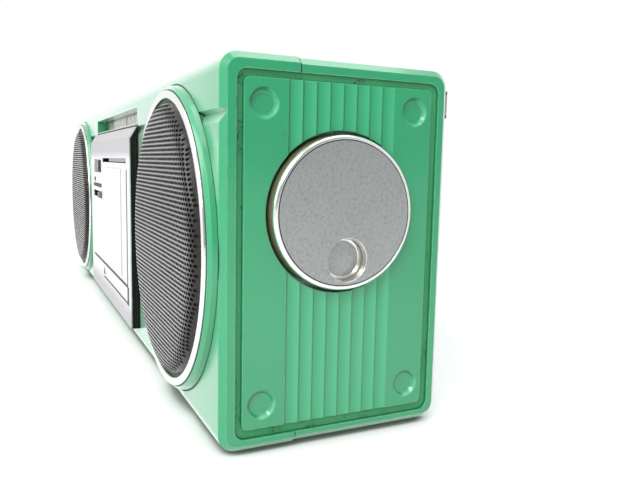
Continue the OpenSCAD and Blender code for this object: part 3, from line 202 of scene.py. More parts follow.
def lamp(name, place, target, size, power, colour=(1, 1, 1)):
    """A square softbox at one point that faces another; its power falls off with the distance squared."""
    data = bpy.data.lights.new(name, "AREA")
    data.size = size
    data.energy = power
    data.color = colour
    ob = bpy.data.objects.new(name, data)
    bpy.context.scene.collection.objects.link(ob)
    aim = np.asarray(place, float) - np.asarray(target, float)
    z = aim / np.linalg.norm(aim)
    x = np.cross([0, 0, 1], z)
    x /= np.linalg.norm(x)
    turn = np.eye(4)
    turn[:3, :4] = np.column_stack([x, np.cross(z, x), z, place])
    ob.matrix_world = Matrix(turn.tolist())
    return ob


WARM = (1.0, 0.99, 0.97)
lamp("front_softbox", (-0.35, -1.6, 0.9), (0.0, 0, 0.08), 1.2, 15, WARM)
lamp("end_softbox", (1.05, -0.85, 1.1), (0.25, 0, 0.08), 0.8, 15, WARM)
lamp("top_softbox", (0.1, 0.3, 1.6), (0.1, 0, 0.1), 1.2, 9)

# %% [markdown]
# ## Floor
#
# Where the cabinet nearly touches the ground there is a dark line of shadow, and a few millimetres away the ground
# is white again. The soft lamps alone leave that line too pale, because this floor also shines by itself. So the
# floor measures how much sky each point sees over a short reach and paints the contact shadow in two steps. The
# steps are for the camera alone, so that the gloss of the cabinet still mirrors a white ground.

# %% Floor
FLOOR_HALF, CONTACT_REACH = 6, 0.013
SHADES = ((0.9, 0.15, (0.66, 0.655, 0.65, 1)), (0.48, 0.2, (0.12, 0.14, 0.125, 1)))
floor_mesh = bpy.data.meshes.new("floor")
floor_mesh.from_pydata([(x * FLOOR_HALF, y * FLOOR_HALF, 0) for x, y in ((-1, -1), (1, -1), (1, 1), (-1, 1))], [],
                       [(0, 1, 2, 3)])
floor = bpy.data.objects.new("floor", floor_mesh)
bpy.context.scene.collection.objects.link(floor)
paper = bpy.data.materials.new("white_ground")
paper.use_nodes = True
pt = paper.node_tree
pt.nodes.clear()
ray = node(pt, "LightPath").outputs
open_sky = node(pt, "AmbientOcclusion", {"Distance": CONTACT_REACH}, samples=16).outputs["AO"]
# Painted contact shadow: the floor darkens in two steps near the cabinet, for camera rays only.
contact_shadow = (1, 1, 1, 1)
for wide, close, shade in SHADES:
    contact_shadow = mix(pt, times(pt, ramp(pt, open_sky, wide, close), ray["Is Camera Ray"]), contact_shadow, shade)
shaded = node(pt, "BsdfDiffuse", {"Color": mix(pt, 0.3, contact_shadow, (0, 0, 0, 1))})
glow = node(pt, "Emission", {"Color": contact_shadow, "Strength": 0.45})
lit = node(pt, "AddShader", {0: shaded.outputs[0], 1: glow.outputs[0]})
far = node(pt, "VectorMath", {0: node(pt, "TexCoord").outputs["Object"]}, operation="LENGTH").outputs["Value"]
sweep = node(pt, "MixShader", {0: ramp(pt, far, 0.4, 1.1), 1: lit.outputs[0], 2: node(pt, "Emission").outputs[0]})
ground = node(pt, "BsdfDiffuse", {"Color": (0.86, 0.86, 0.86, 1)})
ground_mix = node(pt, "MixShader", {0: shown(pt, ray), 1: ground.outputs[0], 2: sweep.outputs[0]})
node(pt, "OutputMaterial", {"Surface": ground_mix.outputs[0]})
floor_mesh.materials.append(paper)
print("floor:", 2 * FLOOR_HALF, "m wide,", len(pt.nodes), "nodes")

# %% [markdown]
# ## Effects that many finishes share
#
# Moulded grain, blotches, stains, worn edges that also carry a painted highlight, grime in corners that also paints
# their shade, scratches and specks turn up all over an old player. Each could be drawn again in every material, but
# a node group built once and placed in each material with its own numbers is easier to keep right. A group here only
# puts out masks and heights: the shader itself stays in the material.

# %% Node groups


def group(name, inputs, output):
    """A shader node group with number inputs and one number output: the group, its inputs, its output's socket."""
    tree = bpy.data.node_groups.new(name, "ShaderNodeTree")
    for label, default in inputs.items():
        tree.interface.new_socket(label, in_out="INPUT", socket_type="NodeSocketFloat").default_value = default
    tree.interface.new_socket(output, in_out="OUTPUT", socket_type="NodeSocketFloat")
    return tree, tree.nodes.new("NodeGroupInput").outputs, tree.nodes.new("NodeGroupOutput").inputs[0]


def noise(tree, scale, detail, roughness, vector=None):
    """Fractal noise in Object coordinates, or on another vector."""
    where = vector or node(tree, "TexCoord").outputs["Object"]
    made = node(tree, "TexNoise", {"Vector": where, "Scale": scale, "Detail": detail, "Roughness": roughness})
    return made.outputs["Fac"]


grain_group, gi, out = group("moulded_grain", {"Scale": 1800.0, "Softness": 0.6}, "Height")
grain_group.links.new(noise(grain_group, gi["Scale"], 3.0, gi["Softness"]), out)

blotch_group, gi, out = group("blotch", {"Scale": 14.0, "Contrast": 1.0}, "Mask")
centred = math_node(blotch_group, "SUBTRACT", noise(blotch_group, gi["Scale"], 6.0, 0.62), 0.5)
blotch_group.links.new(math_node(blotch_group, "MULTIPLY_ADD", centred, gi["Contrast"], 0.5, True), out)

stain_group, gi, out = group("old_stain", {"Scale": 40.0, "Spread": 0.62}, "Mask")
patch = ramp(stain_group, noise(stain_group, gi["Scale"], 5.0, 0.7), gi["Spread"],
             math_node(stain_group, "ADD", gi["Spread"], 0.14))
dots = ramp(stain_group, noise(stain_group, 900.0, 4.0, 0.75), 0.42, 0.62)
stain_group.links.new(times(stain_group, patch, dots), out)

# Worn edge and painted highlight: a mask on convex edges, broken by chips, that pales them.
edge_wear_highlight_group, gi, out = group("worn_edge_and_highlight", {"Radius": 0.0008, "Gain": 6.0}, "Mask")
soft = node(edge_wear_highlight_group, "Bevel", {"Radius": gi["Radius"]}, samples=6).outputs["Normal"]
flat = node(edge_wear_highlight_group, "NewGeometry").outputs["Normal"]
same = node(edge_wear_highlight_group, "VectorMath", {0: soft, 1: flat}, operation="DOT_PRODUCT").outputs["Value"]
chips = ramp(edge_wear_highlight_group, noise(edge_wear_highlight_group, 260.0, 5.0, 0.7), 0.3, 0.6)
bend = times(edge_wear_highlight_group, math_node(edge_wear_highlight_group, "SUBTRACT", 1.0, same, clamp=True), chips)
edge_wear_highlight_group.links.new(math_node(edge_wear_highlight_group, "MULTIPLY", bend, gi["Gain"], clamp=True), out)

# Grime and painted shade: ambient occlusion over a short reach darkens corners, grooves and steps.
corner_grime_shade_group, gi, out = group("corner_grime_and_shade", {"Reach": 0.0016}, "Mask")
open_sky = node(corner_grime_shade_group, "AmbientOcclusion", {"Distance": gi["Reach"]}, samples=8).outputs["AO"]
corner_grime_shade_group.links.new(ramp(corner_grime_shade_group, math_node(corner_grime_shade_group, "SUBTRACT", 1.0, open_sky), 0.22, 0.75), out)

scratch_group, gi, out = group("hair_scratch", {"Scale": 60.0, "Amount": 0.5}, "Mask")
long_way = node(scratch_group, "Mapping", {"Vector": node(scratch_group, "TexCoord").outputs["Object"],
                                           "Rotation": (0.3, 0.9, 0.5), "Scale": (1.0, 22.0, 14.0)}).outputs[0]
thin = ramp(scratch_group, noise(scratch_group, gi["Scale"], 2.0, 0.5, long_way), 0.66, 0.70)
scratch_group.links.new(times(scratch_group, thin, gi["Amount"]), out)

speck_group, gi, out = group("speck", {"Scale": 150.0, "Share": 0.14}, "Mask")
where = node(speck_group, "TexCoord").outputs["Object"]
cells = node(speck_group, "TexVoronoi", {"Vector": where, "Scale": gi["Scale"]}).outputs
lot = node(speck_group, "SeparateColor", {0: cells["Color"]}).outputs[0]
chosen = math_node(speck_group, "LESS_THAN", lot, gi["Share"])
speck_group.links.new(times(speck_group, chosen, ramp(speck_group, cells["Distance"], 0.12, 0.07)), out)
print("groups:", [g.name for g in bpy.data.node_groups])

# %% [markdown]
# ## A finish
#
# Nearly all finishes follow one recipe: a base colour that drifts a little, stains on top, a paler or barer
# colour where edges are rubbed, which also paints a highlight along them, grime with painted shade in the corners,
# and roughness and bump from the same masks. A function holds the recipe and each finish only gives its numbers. A
# Bevel node rounds the shading of sharp solid edges by a fraction of a millimetre, as moulding and plating do,
# without touching the solids' meshes.

# %% The recipe


def use(tree, made_group, **values):
    """Places a node group in a material and sets the inputs given by name."""
    made = tree.nodes.new("ShaderNodeGroup")
    made.node_tree = made_group
    for key, value in values.items():
        made.inputs[key].default_value = value
    return made.outputs[0]


def blank(name):
    """A new material with its node tree and its Principled shader."""
    made = bpy.data.materials.new(name)
    made.use_nodes = True
    return made, made.node_tree, made.node_tree.nodes["Principled BSDF"]


def finish(name, colour, drift, rough, swing=0.1, metal=0.0, stain=None, spread=0.62, stain_scale=40.0, wear_and_highlight=None,
           grime_and_shade=None, reach=0.0016, edge=0.0006, grain=1800.0, depth=0.00002, scratch=0.0, coat=0.0, shine=0.5):
    """One Principled material: colour drifts to drift by blotches, then stains, then worn edges with a painted
    highlight, then grime with painted shade in the corners; roughness swings with the blotches and stains, and the
    normal is the rounded edge plus the grain's bump."""
    made, tree, shader = blank(name)
    spots = use(tree, blotch_group, Contrast=1.8)
    look = mix(tree, spots, colour, drift)
    roughness = math_node(tree, "MULTIPLY_ADD", spots, swing, rough - swing / 2)
    if stain:
        dirt = use(tree, stain_group, Scale=stain_scale, Spread=spread)
        look = mix(tree, dirt, look, stain)
        roughness = math_node(tree, "MULTIPLY_ADD", dirt, 0.25, roughness, True)
    if scratch:
        lines = use(tree, scratch_group, Amount=scratch)
        roughness = math_node(tree, "MULTIPLY_ADD", lines, 0.3, roughness, True)
        look = mix(tree, times(tree, lines, 0.35), look, drift)
    # Edges: a paler colour for rubbing, which also paints a highlight along them.
    if wear_and_highlight:
        look = mix(tree, use(tree, edge_wear_highlight_group), look, wear_and_highlight)
    # Corners: a darker colour for grime, which also paints the shade there.
    if grime_and_shade:
        look = mix(tree, use(tree, corner_grime_shade_group, Reach=reach), look, grime_and_shade)
    tree.links.new(look, shader.inputs["Base Color"])
    tree.links.new(roughness, shader.inputs["Roughness"])
    plain = {"Metallic": metal, "Specular IOR Level": shine, "Coat Weight": coat, "Coat Roughness": 0.12}
    for socket, value in plain.items():
        shader.inputs[socket].default_value = value
    bump = node(tree, "Bump", {"Height": use(tree, grain_group, Scale=grain), "Distance": depth, "Strength": 0.6})
    if edge:
        tree.links.new(node(tree, "Bevel", {"Radius": edge}, samples=4).outputs["Normal"], bump.inputs["Normal"])
    tree.links.new(bump.outputs["Normal"], shader.inputs["Normal"])
    return made


# %% Finishes of the plastic and plated outside
GREEN, GREEN_DRIFT = tint(42, 169, 115), tint(35, 158, 106)
GREEN_WEAR_AND_SHADE = {"stain_scale": 34.0, "grime_and_shade": tint(16, 62, 36), "grain": 2400.0, "depth": 0.00003, "coat": 1.0}
SILVER_WEAR_AND_SHADE = {"grime_and_shade": tint(112, 108, 110), "reach": 0.0011, "grain": 3000.0, "depth": 0.000012, "scratch": 0.25}
cabinet_green = finish("cabinet_green", GREEN, GREEN_DRIFT, 0.33, stain=tint(84, 104, 62), spread=0.66,
                       wear_and_highlight=tint(128, 208, 166), reach=0.0009, **GREEN_WEAR_AND_SHADE)
silver_panel = finish("silver_panel", tint(228, 227, 230), tint(220, 219, 222), 0.5, 0.08, 0.1, **SILVER_WEAR_AND_SHADE)
bright_trim = finish("bright_trim", tint(248, 248, 247), tint(236, 236, 235), 0.13, metal=1.0,
                     stain=tint(150, 142, 128), spread=0.7, grain=900.0, depth=0.000006, scratch=0.3)
bracket_steel = finish("bracket_steel", tint(120, 110, 108), tint(98, 90, 88), 0.6, metal=0.25,
                       stain=tint(70, 60, 56), shine=0.15)
dull_nickel = finish("dull_nickel", tint(150, 150, 148), tint(128, 127, 124), 0.26, metal=1.0, stain=tint(88, 80, 70),
                     spread=0.6, wear_and_highlight=tint(190, 190, 188), grime_and_shade=tint(34, 34, 32), grain=1100.0, depth=0.000008,
                     scratch=0.5)
matt_black = finish("matt_black", tint(24, 25, 24), tint(17, 18, 17), 0.5, 0.15, wear_and_highlight=tint(50, 50, 48), grain=2200.0,
                    depth=0.00004, shine=0.2)
white_plastic = finish("white_plastic", tint(226, 223, 214), tint(216, 211, 198), 0.4, stain=tint(170, 158, 130),
                       grain=2000.0)
key_silver = finish("key_silver", tint(192, 194, 196), tint(176, 178, 181), 0.36, metal=0.3, wear_and_highlight=tint(226, 226, 224),
                    grime_and_shade=tint(70, 68, 66), grain=3200.0, depth=0.000012)
slider_grey = finish("slider_grey", tint(120, 122, 125), tint(104, 106, 110), 0.45, 0.12, wear_and_highlight=tint(160, 160, 160),
                     grime_and_shade=tint(40, 40, 40), grain=2400.0, depth=0.00003)
pointer_red = finish("pointer_red", tint(206, 66, 44), tint(190, 54, 36), 0.3, 0.08, grain=2000.0, depth=0.00001)
dial_cream = finish("dial_cream", tint(236, 230, 220), tint(228, 220, 208), 0.5, 0.08, grain=2000.0, depth=0.00001)
# Painted light: the dial plate glows faintly, though it is no lamp, to brighten it behind the window.
dial_shader = dial_cream.node_tree.nodes["Principled BSDF"].inputs
dial_shader["Emission Color"].default_value = tint(255, 240, 232)
dial_shader["Emission Strength"].default_value = 0.1
print_dark = finish("print_dark", tint(34, 36, 36), tint(44, 45, 44), 0.55, grain=2600.0, depth=0.00001, edge=0.0)
print("outside finishes:", cabinet_green.name, "to", print_dark.name)

# %% Finishes of the metal, rubber and paper inside
zinc_steel = finish("zinc_steel", tint(176, 178, 182), tint(150, 152, 158), 0.32, 0.14, 1.0, stain=tint(120, 104, 84),
                    spread=0.68, grain=1200.0, depth=0.00001, scratch=0.5)
turned_brass = finish("turned_brass", tint(196, 168, 104), tint(176, 146, 88), 0.28, 0.14, 1.0,
                      stain=tint(110, 84, 52), grain=1500.0, depth=0.00001)
black_rubber = finish("black_rubber", tint(30, 30, 30), tint(40, 39, 38), 0.75, 0.15, stain=tint(84, 80, 74),
                      spread=0.56, grain=1600.0, depth=0.00005)
cone_black = finish("cone_black", tint(30, 29, 30), tint(44, 42, 41), 0.8, 0.12, grain=1100.0, depth=0.00012)
board_green = finish("board_green", tint(62, 118, 74), tint(50, 100, 62), 0.35, 0.12, stain=tint(120, 110, 70),
                     grain=900.0, depth=0.00004)
core_iron = finish("core_iron", tint(92, 94, 98), tint(74, 76, 80), 0.45, 0.15, 0.8, stain=tint(110, 84, 60),
                   grain=1400.0, depth=0.00004)

SLOT_FINISH = {
    "cabinet_plastic": cabinet_green, "knob_metal": zinc_steel, "bright_trim": bright_trim,
    "grille_metal": cone_black, "panel_silver": silver_panel, "black_plastic": matt_black, "steel": zinc_steel,
    "brass": turned_brass, "rubber": black_rubber, "white_plastic": white_plastic, "key_plastic": key_silver,
    "grey_plastic": slider_grey, "dial_face": dial_cream, "pointer_red": pointer_red, "speaker_black": cone_black,
    "board": board_green, "iron_core": core_iron,
}
print("slots with a finish:", len(SLOT_FINISH))

# %% [markdown]
# ## Clear windows
#
# Two clear strips cover the dial and the counter. Full refraction through a strip this thin costs time and
# changes little, so the strip is see-through, with a mirror-like coat on its outer skin that grows towards grazing
# angles. The inner skin has none: without refraction it would turn into a full mirror.

# %% Clear window material
clear_window, tree, shader = blank("clear_window")
tree.nodes.remove(shader)
see = node(tree, "BsdfTransparent", {"Color": (0.93, 0.96, 0.95, 1)})
smear = math_node(tree, "MULTIPLY_ADD", use(tree, scratch_group, Amount=1.0), 0.25, 0.04)
gloss = node(tree, "BsdfGlossy", {"Roughness": smear})
outside = math_node(tree, "SUBTRACT", 1.0, node(tree, "NewGeometry").outputs["Backfacing"])
coat = times(tree, node(tree, "Fresnel", {"IOR": 1.4}).outputs[0], outside)
pane = node(tree, "MixShader", {0: coat, 1: see.outputs[0], 2: gloss.outputs[0]})
tree.links.new(pane.outputs[0], tree.nodes["Material Output"].inputs["Surface"])
SLOT_FINISH["clear_window"] = clear_window
print(clear_window.name, len(tree.nodes), "nodes")

# %% [markdown]
# ## Finishes that change over a piece
#
# Three finishes need more than the recipe, and each paints light or shade into its colour. The glossy green gets
# a painted pale sheen where the eye meets it flat, along the front. The panel's plate is painted greyer near its top
# and its foot, where it leans away from the light. On the end panels each rib has painted shade in its foot and pales
# with painted light as it slopes out, and each dished round has a painted shadow crescent and a painted highlight
# crescent. These could be painted on a map, but a few formulas in the object's own coordinates stay sharp at any
# size, so each one is laid over the colour that the recipe made.

# %% Layer helpers


def layers(made):
    """A finish's node tree, its shader's sockets, and the colour that reaches the shader so far."""
    sockets = made.node_tree.nodes["Principled BSDF"].inputs
    return made.node_tree, sockets, sockets["Base Color"].links[0].from_socket


def places(tree, x=0.0, y=0.0, z=0.0):
    """Object coordinates as three sockets, in metres from a point of the drawing."""
    where = {0: node(tree, "TexCoord").outputs["Object"], 1: model((x, y, z))}
    moved = node(tree, "VectorMath", where, operation="SUBTRACT").outputs[0]
    return node(tree, "SeparateXYZ", {0: moved}).outputs


def distance(tree, u, v):
    """Length of the flat vector u, v: the root of u * u + v * v."""
    return math_node(tree, "SQRT", math_node(tree, "MULTIPLY_ADD", u, u, times(tree, v, v)))


# %% Painted sheen of the cabinet
tree, sockets, look = layers(cabinet_green)
# Painted sheen: the base colour pales towards white-green where the surface is seen at a flat angle.
painted_sheen = ramp(tree, node(tree, "LayerWeight").outputs["Facing"], 0.68, 0.96)
tree.links.new(mix(tree, times(tree, painted_sheen, 0.8), look, tint(226, 246, 236)), sockets["Base Color"])
print(cabinet_green.name, len(tree.nodes), "nodes")

# %% Panel plate
LEAN_TOP, LEAN_FOOT = (116, 123), (30, 18)
plate_silver = finish("plate_silver", tint(230, 229, 232), tint(223, 222, 225), 0.5, 0.08, 0.1, **SILVER_WEAR_AND_SHADE)
tree, sockets, look = layers(plate_silver)
high = places(tree)["Z"]
lean = [ramp(tree, high, start * MM, stop * MM) for start, stop in (LEAN_TOP, LEAN_FOOT)]
tree.links.new(mix(tree, math_node(tree, "ADD", *lean), look, tint(184, 182, 186)), sockets["Base Color"])
print(plate_silver.name, len(tree.nodes), "nodes")

# %% End panels: ribs
RIB_FIRST, RIB_PITCH, RIB_COUNT = 27.8, 6.1, 8
ribbed_green = finish("ribbed_green", GREEN, GREEN_DRIFT, 0.33, stain=tint(92, 100, 60), spread=0.62,
                      wear_and_highlight=tint(104, 204, 154), reach=0.0007, **GREEN_WEAR_AND_SHADE)
tree, sockets, look = layers(ribbed_green)
turns = math_node(tree, "DIVIDE", places(tree, y=FRONT + RIB_FIRST)["Y"], RIB_PITCH * MM)
within = times(tree, ramp(tree, turns, -0.01, 0.01), ramp(tree, turns, RIB_COUNT + 0.01, RIB_COUNT - 0.01))
share = math_node(tree, "FRACT", turns)
# Painted light: each rib's colour pales as it slopes out towards the next step.
look = mix(tree, times(tree, within, ramp(tree, share, 0.1, 1.0)), look, tint(62, 184, 130))
look = mix(tree, times(tree, use(tree, speck_group), 0.75), look, tint(52, 78, 46))
# Painted shade: the foot of each rib, just behind the step, is darkened.
rib_foot_shade = times(tree, times(tree, within, ramp(tree, share, 0.17, 0.02)), 0.8)
look = mix(tree, rib_foot_shade, look, tint(14, 78, 46))
print("ribs on each end:", RIB_COUNT)

# %% End panels: dished rounds
PANEL_MIDDLE, ROUND_Y, ROUND_Z, ROUND_SPAN = {"y": -0.25, "z": 79.4}, 34.65, 60.6, 0.0083
spot = places(tree, **PANEL_MIDDLE)
off = [math_node(tree, "SUBTRACT", spot[axis], times(tree, math_node(tree, "SIGN", spot[axis]), span * MM))
       for axis, span in (("Y", ROUND_Y), ("Z", ROUND_Z))]
away = distance(tree, *off)
lip = times(tree, ramp(tree, away, 0.0046, 0.0053), ramp(tree, away, 0.0065, 0.006))
lean = math_node(tree, "DIVIDE", math_node(tree, "SUBTRACT", *off), ROUND_SPAN)
# Painted shadow: the front, upper side of each round's lip is darkened.
look = mix(tree, times(tree, lip, ramp(tree, lean, -0.1, -0.9)), look, tint(22, 104, 66))
# Painted highlight: the rear, lower side of the lip is paled.
look = mix(tree, times(tree, lip, ramp(tree, lean, 0.2, 0.95)), look, tint(88, 200, 150))
tree.links.new(look, sockets["Base Color"])
print(ribbed_green.name, len(tree.nodes), "nodes")

# %% [markdown]
# ## Finishes on the solids
#
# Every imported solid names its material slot, so one table from slot to finish would nearly do. A few solids differ
# from the rest of their slot, such as the ribbed end panels. A second, shorter table gives them a finish of their own.

# %% Put the finishes on the solids
OWN_FINISH = {"antenna_bracket": bracket_steel, "antenna_turret": dull_nickel, "fascia_plate": plate_silver,
              "end_panel_right": ribbed_green, "end_panel_left": ribbed_green}
for row in frame["record"]["subparts"]:
    solid = frame["nodes"][row["node"]]
    solid.data.materials.clear()
    solid.data.materials.append(OWN_FINISH.get(row["node"], SLOT_FINISH[row["material_slot"]]))

# %% [markdown]
# ## Surfaces from arrays
#
# New pieces are grids: rows of points along a profile, columns along a path. One helper turns a grid into quads,
# a few more close it in the ways that these pieces need, and one makes the Blender object and lets it ride on its
# body.

# %% Grid helpers


def grid_faces(rows, cols):
    """Quads between neighbouring rows of a grid counted row by row; the last column joins the first."""
    r = np.arange(rows - 1)[:, None]
    c = np.arange(cols)[None, :]
    n = (c + 1) % cols
    return np.stack([r * cols + c, r * cols + n, (r + 1) * cols + n, (r + 1) * cols + c], -1).reshape(-1, 4)


def loft(rings, tyre=False):
    """A closed skin over rings of points, rows x columns x 3: a tyre joins its last ring to its first, any other loft
    has a flat face over each end. The signed volume, a sum of tetrahedra, tells which way the faces must turn."""
    rings = np.asarray(rings, float)
    rows, cols = rings.shape[:2]
    points = rings.reshape(-1, 3)
    quads = grid_faces(rows + tyre, cols) % (rows * cols)
    ends = [] if tyre else [np.arange(cols)[::-1], np.arange(cols) + (rows - 1) * cols]
    fans = [np.stack([np.full(cols - 2, e[0]), e[1:-1], e[2:]], -1) for e in ends]
    a, b, c = (points - points.mean(0))[np.concatenate([quads[:, [0, 1, 2]], quads[:, [0, 2, 3]]] + fans).T]
    turn = 1 if np.einsum("ij,ij->", a, np.cross(b, c)) > 0 else -1
    return points, quads[:, ::turn].tolist() + [e[::turn].tolist() for e in ends]


def join(shapes):
    """Several (points, faces) shapes as one, the face numbers moved on by the points before them."""
    starts = np.cumsum([0] + [len(p) for p, _ in shapes]).tolist()
    faces = [[i + start for i in q] for (_, f), start in zip(shapes, starts) for q in f]
    return np.concatenate([p for p, _ in shapes]), faces


# %% From arrays to objects


def kinds_of(*parts):
    """One material number for each face, from pairs of a number and the shapes that have it."""
    return np.concatenate([np.full(sum(len(f) for _, f in shapes), kind) for kind, shapes in parts])


def piece(name, shape, body, finishes, replaces=(), kinds=None, angle=32):
    """An object from drawing millimetres, with its materials, shaded soft up to an angle; it rides on a body and may
    stand for nodes."""
    points, faces = shape
    mesh = bpy.data.meshes.new(name)
    mesh.from_pydata(model(points).tolist(), [], faces)
    for one in finishes if isinstance(finishes, (list, tuple)) else [finishes]:
        mesh.materials.append(one)
    if kinds is not None:
        mesh.polygons.foreach_set("material_index", np.asarray(kinds, np.int32))
    mesh.shade_smooth()
    mesh.set_sharp_from_angle(angle=math.radians(angle))
    mesh.validate()
    ob = bpy.data.objects.new(name, mesh)
    bpy.context.scene.collection.objects.link(ob)
    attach(ob, body)
    if replaces:
        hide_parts(*replaces)
    print(name, len(mesh.vertices), "points", len(mesh.polygons), "faces")
    return ob


# %% [markdown]
# ## Perforated speaker pans
#
# The speaker covers are sheet metal pans, punched full of holes in a honeycomb order, with a plain border that lies
# in the ring's seat. A bump or a transparency pattern would fail at the flat angle of the picture, where the holes'
# walls show. So every hole is real: each honeycomb cell is a ring of faces around a twelve-sided oval hole, with a
# wall through the sheet. The flat lattice is then lifted to the pan's height, a level crown that falls off steeply
# near the edge. There the holes are a little smaller, as in drawn sheet, and the paint is duller.

# %% Pan geometry
SPEAKER_X, SPEAKER_Z = 185.3, 79.4
PAN_R, DOME_R, PAN_FOOT, PAN_BULGE, PAN_POWER, SHEET = 67.3, 65.3, 3.6, 5.0, 22, 0.6
PITCH, HOLE_R, PLAIN_EDGE = 2.33, np.array([1.07, 0.82]), 1.4
SHRINK, SHRINK_FROM, SHRINK_OVER = 0.14, 55, 8
PAINTED, SHADED_SEAT, DARK = 0, 1, 2
TWELFTHS = math.pi / 6 + np.arange(12) * math.pi / 6
RAYS = np.stack([np.cos(TWELFTHS), np.sin(TWELFTHS)], -1)


def pan_height(x, z):
    """Height over the front face: foot + bulge * (1 - (r / dome radius)^power), and level outside the dome."""
    return PAN_FOOT + PAN_BULGE * (1 - np.minimum(np.hypot(x, z) / DOME_R, 1) ** PAN_POWER)


def polygon_area(xy):
    """Area of a flat polygon by the shoelace sum."""
    x, y = xy[:, 0], xy[:, 1]
    return abs(np.dot(x, np.roll(y, -1)) - np.dot(y, np.roll(x, -1))) / 2


print("pan's crown over the front, mm:", pan_height(0.0, 0.0))

# %% Pan lattice


def honeycomb():
    """Six-sided cells on a flat disc, clamped to the dome's circle: the cells' centres, the points of all corners,
    and the numbers of each cell's six corners."""
    reach = int(DOME_R / PITCH) + 3
    i, j = np.meshgrid(np.arange(-reach, reach + 1), np.arange(-reach - 5, reach + 6))
    centre = np.stack([((i + 0.5 * (j % 2)) * PITCH).ravel(), (j * PITCH * math.sqrt(3) / 2).ravel()], -1)
    centre = centre[np.hypot(*centre.T) < DOME_R + 0.45 * PITCH]
    corner = centre[:, None, :] + PITCH / math.sqrt(3) * RAYS[::2]
    corner /= np.maximum(np.hypot(corner[..., 0], corner[..., 1]) / DOME_R, 1)[..., None]
    rim_xy, rim_id = np.unique(np.round(corner.reshape(-1, 2), 4), axis=0, return_inverse=True)
    return centre, rim_xy, rim_id.reshape(-1, 6)


def perforated_pan(side):
    """In each cell that clears the circle, six five-sided faces run from the cell's corners to a twelve-sided hole; a
    plain edge follows outside. The disc is lifted by pan_height, front and back. Also returns a kind for each face:
    the front's paint, the flange in the seat's painted shade, or the dark of walls and back that paints the holes'
    shade."""
    centre, rim_xy, rim_id = honeycomb()
    away = np.hypot(*centre.T)
    holed = away < DOME_R - PLAIN_EDGE
    shrink = 1 - SHRINK * np.clip((away[holed] - SHRINK_FROM) / SHRINK_OVER, 0, 1)
    hole_xy = (centre[holed][:, None, :] + shrink[:, None, None] * HOLE_R * RAYS).reshape(-1, 2)
    edge = np.flatnonzero(np.hypot(*rim_xy.T) > DOME_R - 1e-3)
    edge = edge[np.argsort(np.arctan2(rim_xy[edge, 1], rim_xy[edge, 0]))]
    flat = np.concatenate([rim_xy, hole_xy, rim_xy[edge] * PAN_R / DOME_R])
    count = len(flat)
    outer = np.arange(count - len(edge), count)
    hole = len(rim_xy) + np.arange(len(hole_xy)).reshape(-1, 12)
    cell = rim_id[holed]
    k, n = np.arange(6), (np.arange(6) + 1) % 6
    front = np.stack([cell[:, k], cell[:, n], hole[:, 2 * n], hole[:, 2 * k + 1], hole[:, 2 * k]], -1).reshape(-1, 5)
    after = np.roll(hole, -1, axis=1)
    wall = np.stack([hole, after, after + count, hole + count], -1).reshape(-1, 4)
    plain = [list(dict.fromkeys(q)) for q in rim_id[~holed].tolist()]
    plain = [q for q in plain if len(q) > 2 and polygon_area(rim_xy[q]) > 0.02]
    flange = np.stack([edge, outer, np.roll(outer, -1), np.roll(edge, -1)], -1).tolist()
    x, z = side * (SPEAKER_X + flat[:, 0]), SPEAKER_Z + flat[:, 1]
    y = FRONT - pan_height(flat[:, 0], flat[:, 1])
    points = np.concatenate([np.stack([x, y, z], -1), np.stack([x, y + SHEET, z], -1)])
    lattice = front.tolist() + plain
    faces = lattice + flange
    faces += [[v + count for v in q[::-1]] for q in faces] + wall.tolist()
    faces += np.stack([outer, outer + count, np.roll(outer, -1) + count, np.roll(outer, -1)], -1).tolist()
    kinds = np.full(len(faces), DARK)
    kinds[:len(lattice)] = PAINTED
    kinds[len(lattice):len(lattice) + len(flange)] = SHADED_SEAT
    return points, faces if side > 0 else [q[::-1] for q in faces], kinds


# %% Pan finish and pieces
DULL_FROM, GLOSSY_TO = 0.063, 0.0565
pan_paint = finish("pan_paint", tint(34, 30, 28), tint(44, 39, 36), 0.26, 0.08, stain=tint(62, 55, 48), spread=0.64,
                   edge=0.0, grain=2600.0, depth=0.00001, coat=1.0, shine=0.35)
tree, sockets, _ = layers(pan_paint)
spot = places(tree, z=SPEAKER_Z)
across = math_node(tree, "SUBTRACT", math_node(tree, "ABSOLUTE", spot["X"]), SPEAKER_X * MM)
glossy = ramp(tree, distance(tree, spot["Z"], across), DULL_FROM, GLOSSY_TO)
tree.links.new(math_node(tree, "MULTIPLY_ADD", glossy, 0.95, 0.05), sockets["Coat Weight"])
# Painted shade: the holes' walls, the sheet's back and its outer edge are near-black without gloss, darker than the
# front's paint.
hole_shade_black = finish("hole_shade_black", tint(9, 8, 8), tint(12, 11, 11), 0.9, 0.05, grain=1100.0, edge=0.0, shine=0.0)
# Painted shade: the flange in the drum's seat takes the dark green of the seat in shade; the same colour draws seams
# and shadow lines.
seat_shade_green = finish("seat_shade_green", tint(22, 82, 52), tint(18, 68, 43), 0.6, grain=2400.0, edge=0.0)
for side, label in ((1, "right"), (-1, "left")):
    points, faces, kinds = perforated_pan(side)
    piece(f"pan_{label}", (points, faces), "cabinet", [pan_paint, seat_shade_green, hole_shade_black],
          [f"speaker_grille_{label}"], kinds)

# %% [markdown]
# ## Bright rings
#
# A plated ring frames each pan. Its section is a soft oval, so that the plating draws one long highlight. The
# section is a row of points, carried round a circle.

# %% Rings
RING_IN, RING_OUT, RING_FOOT, RING_TOP, SQUARE = 66.6, 70.4, 4.0, 5.4, 0.6
AROUND = 160


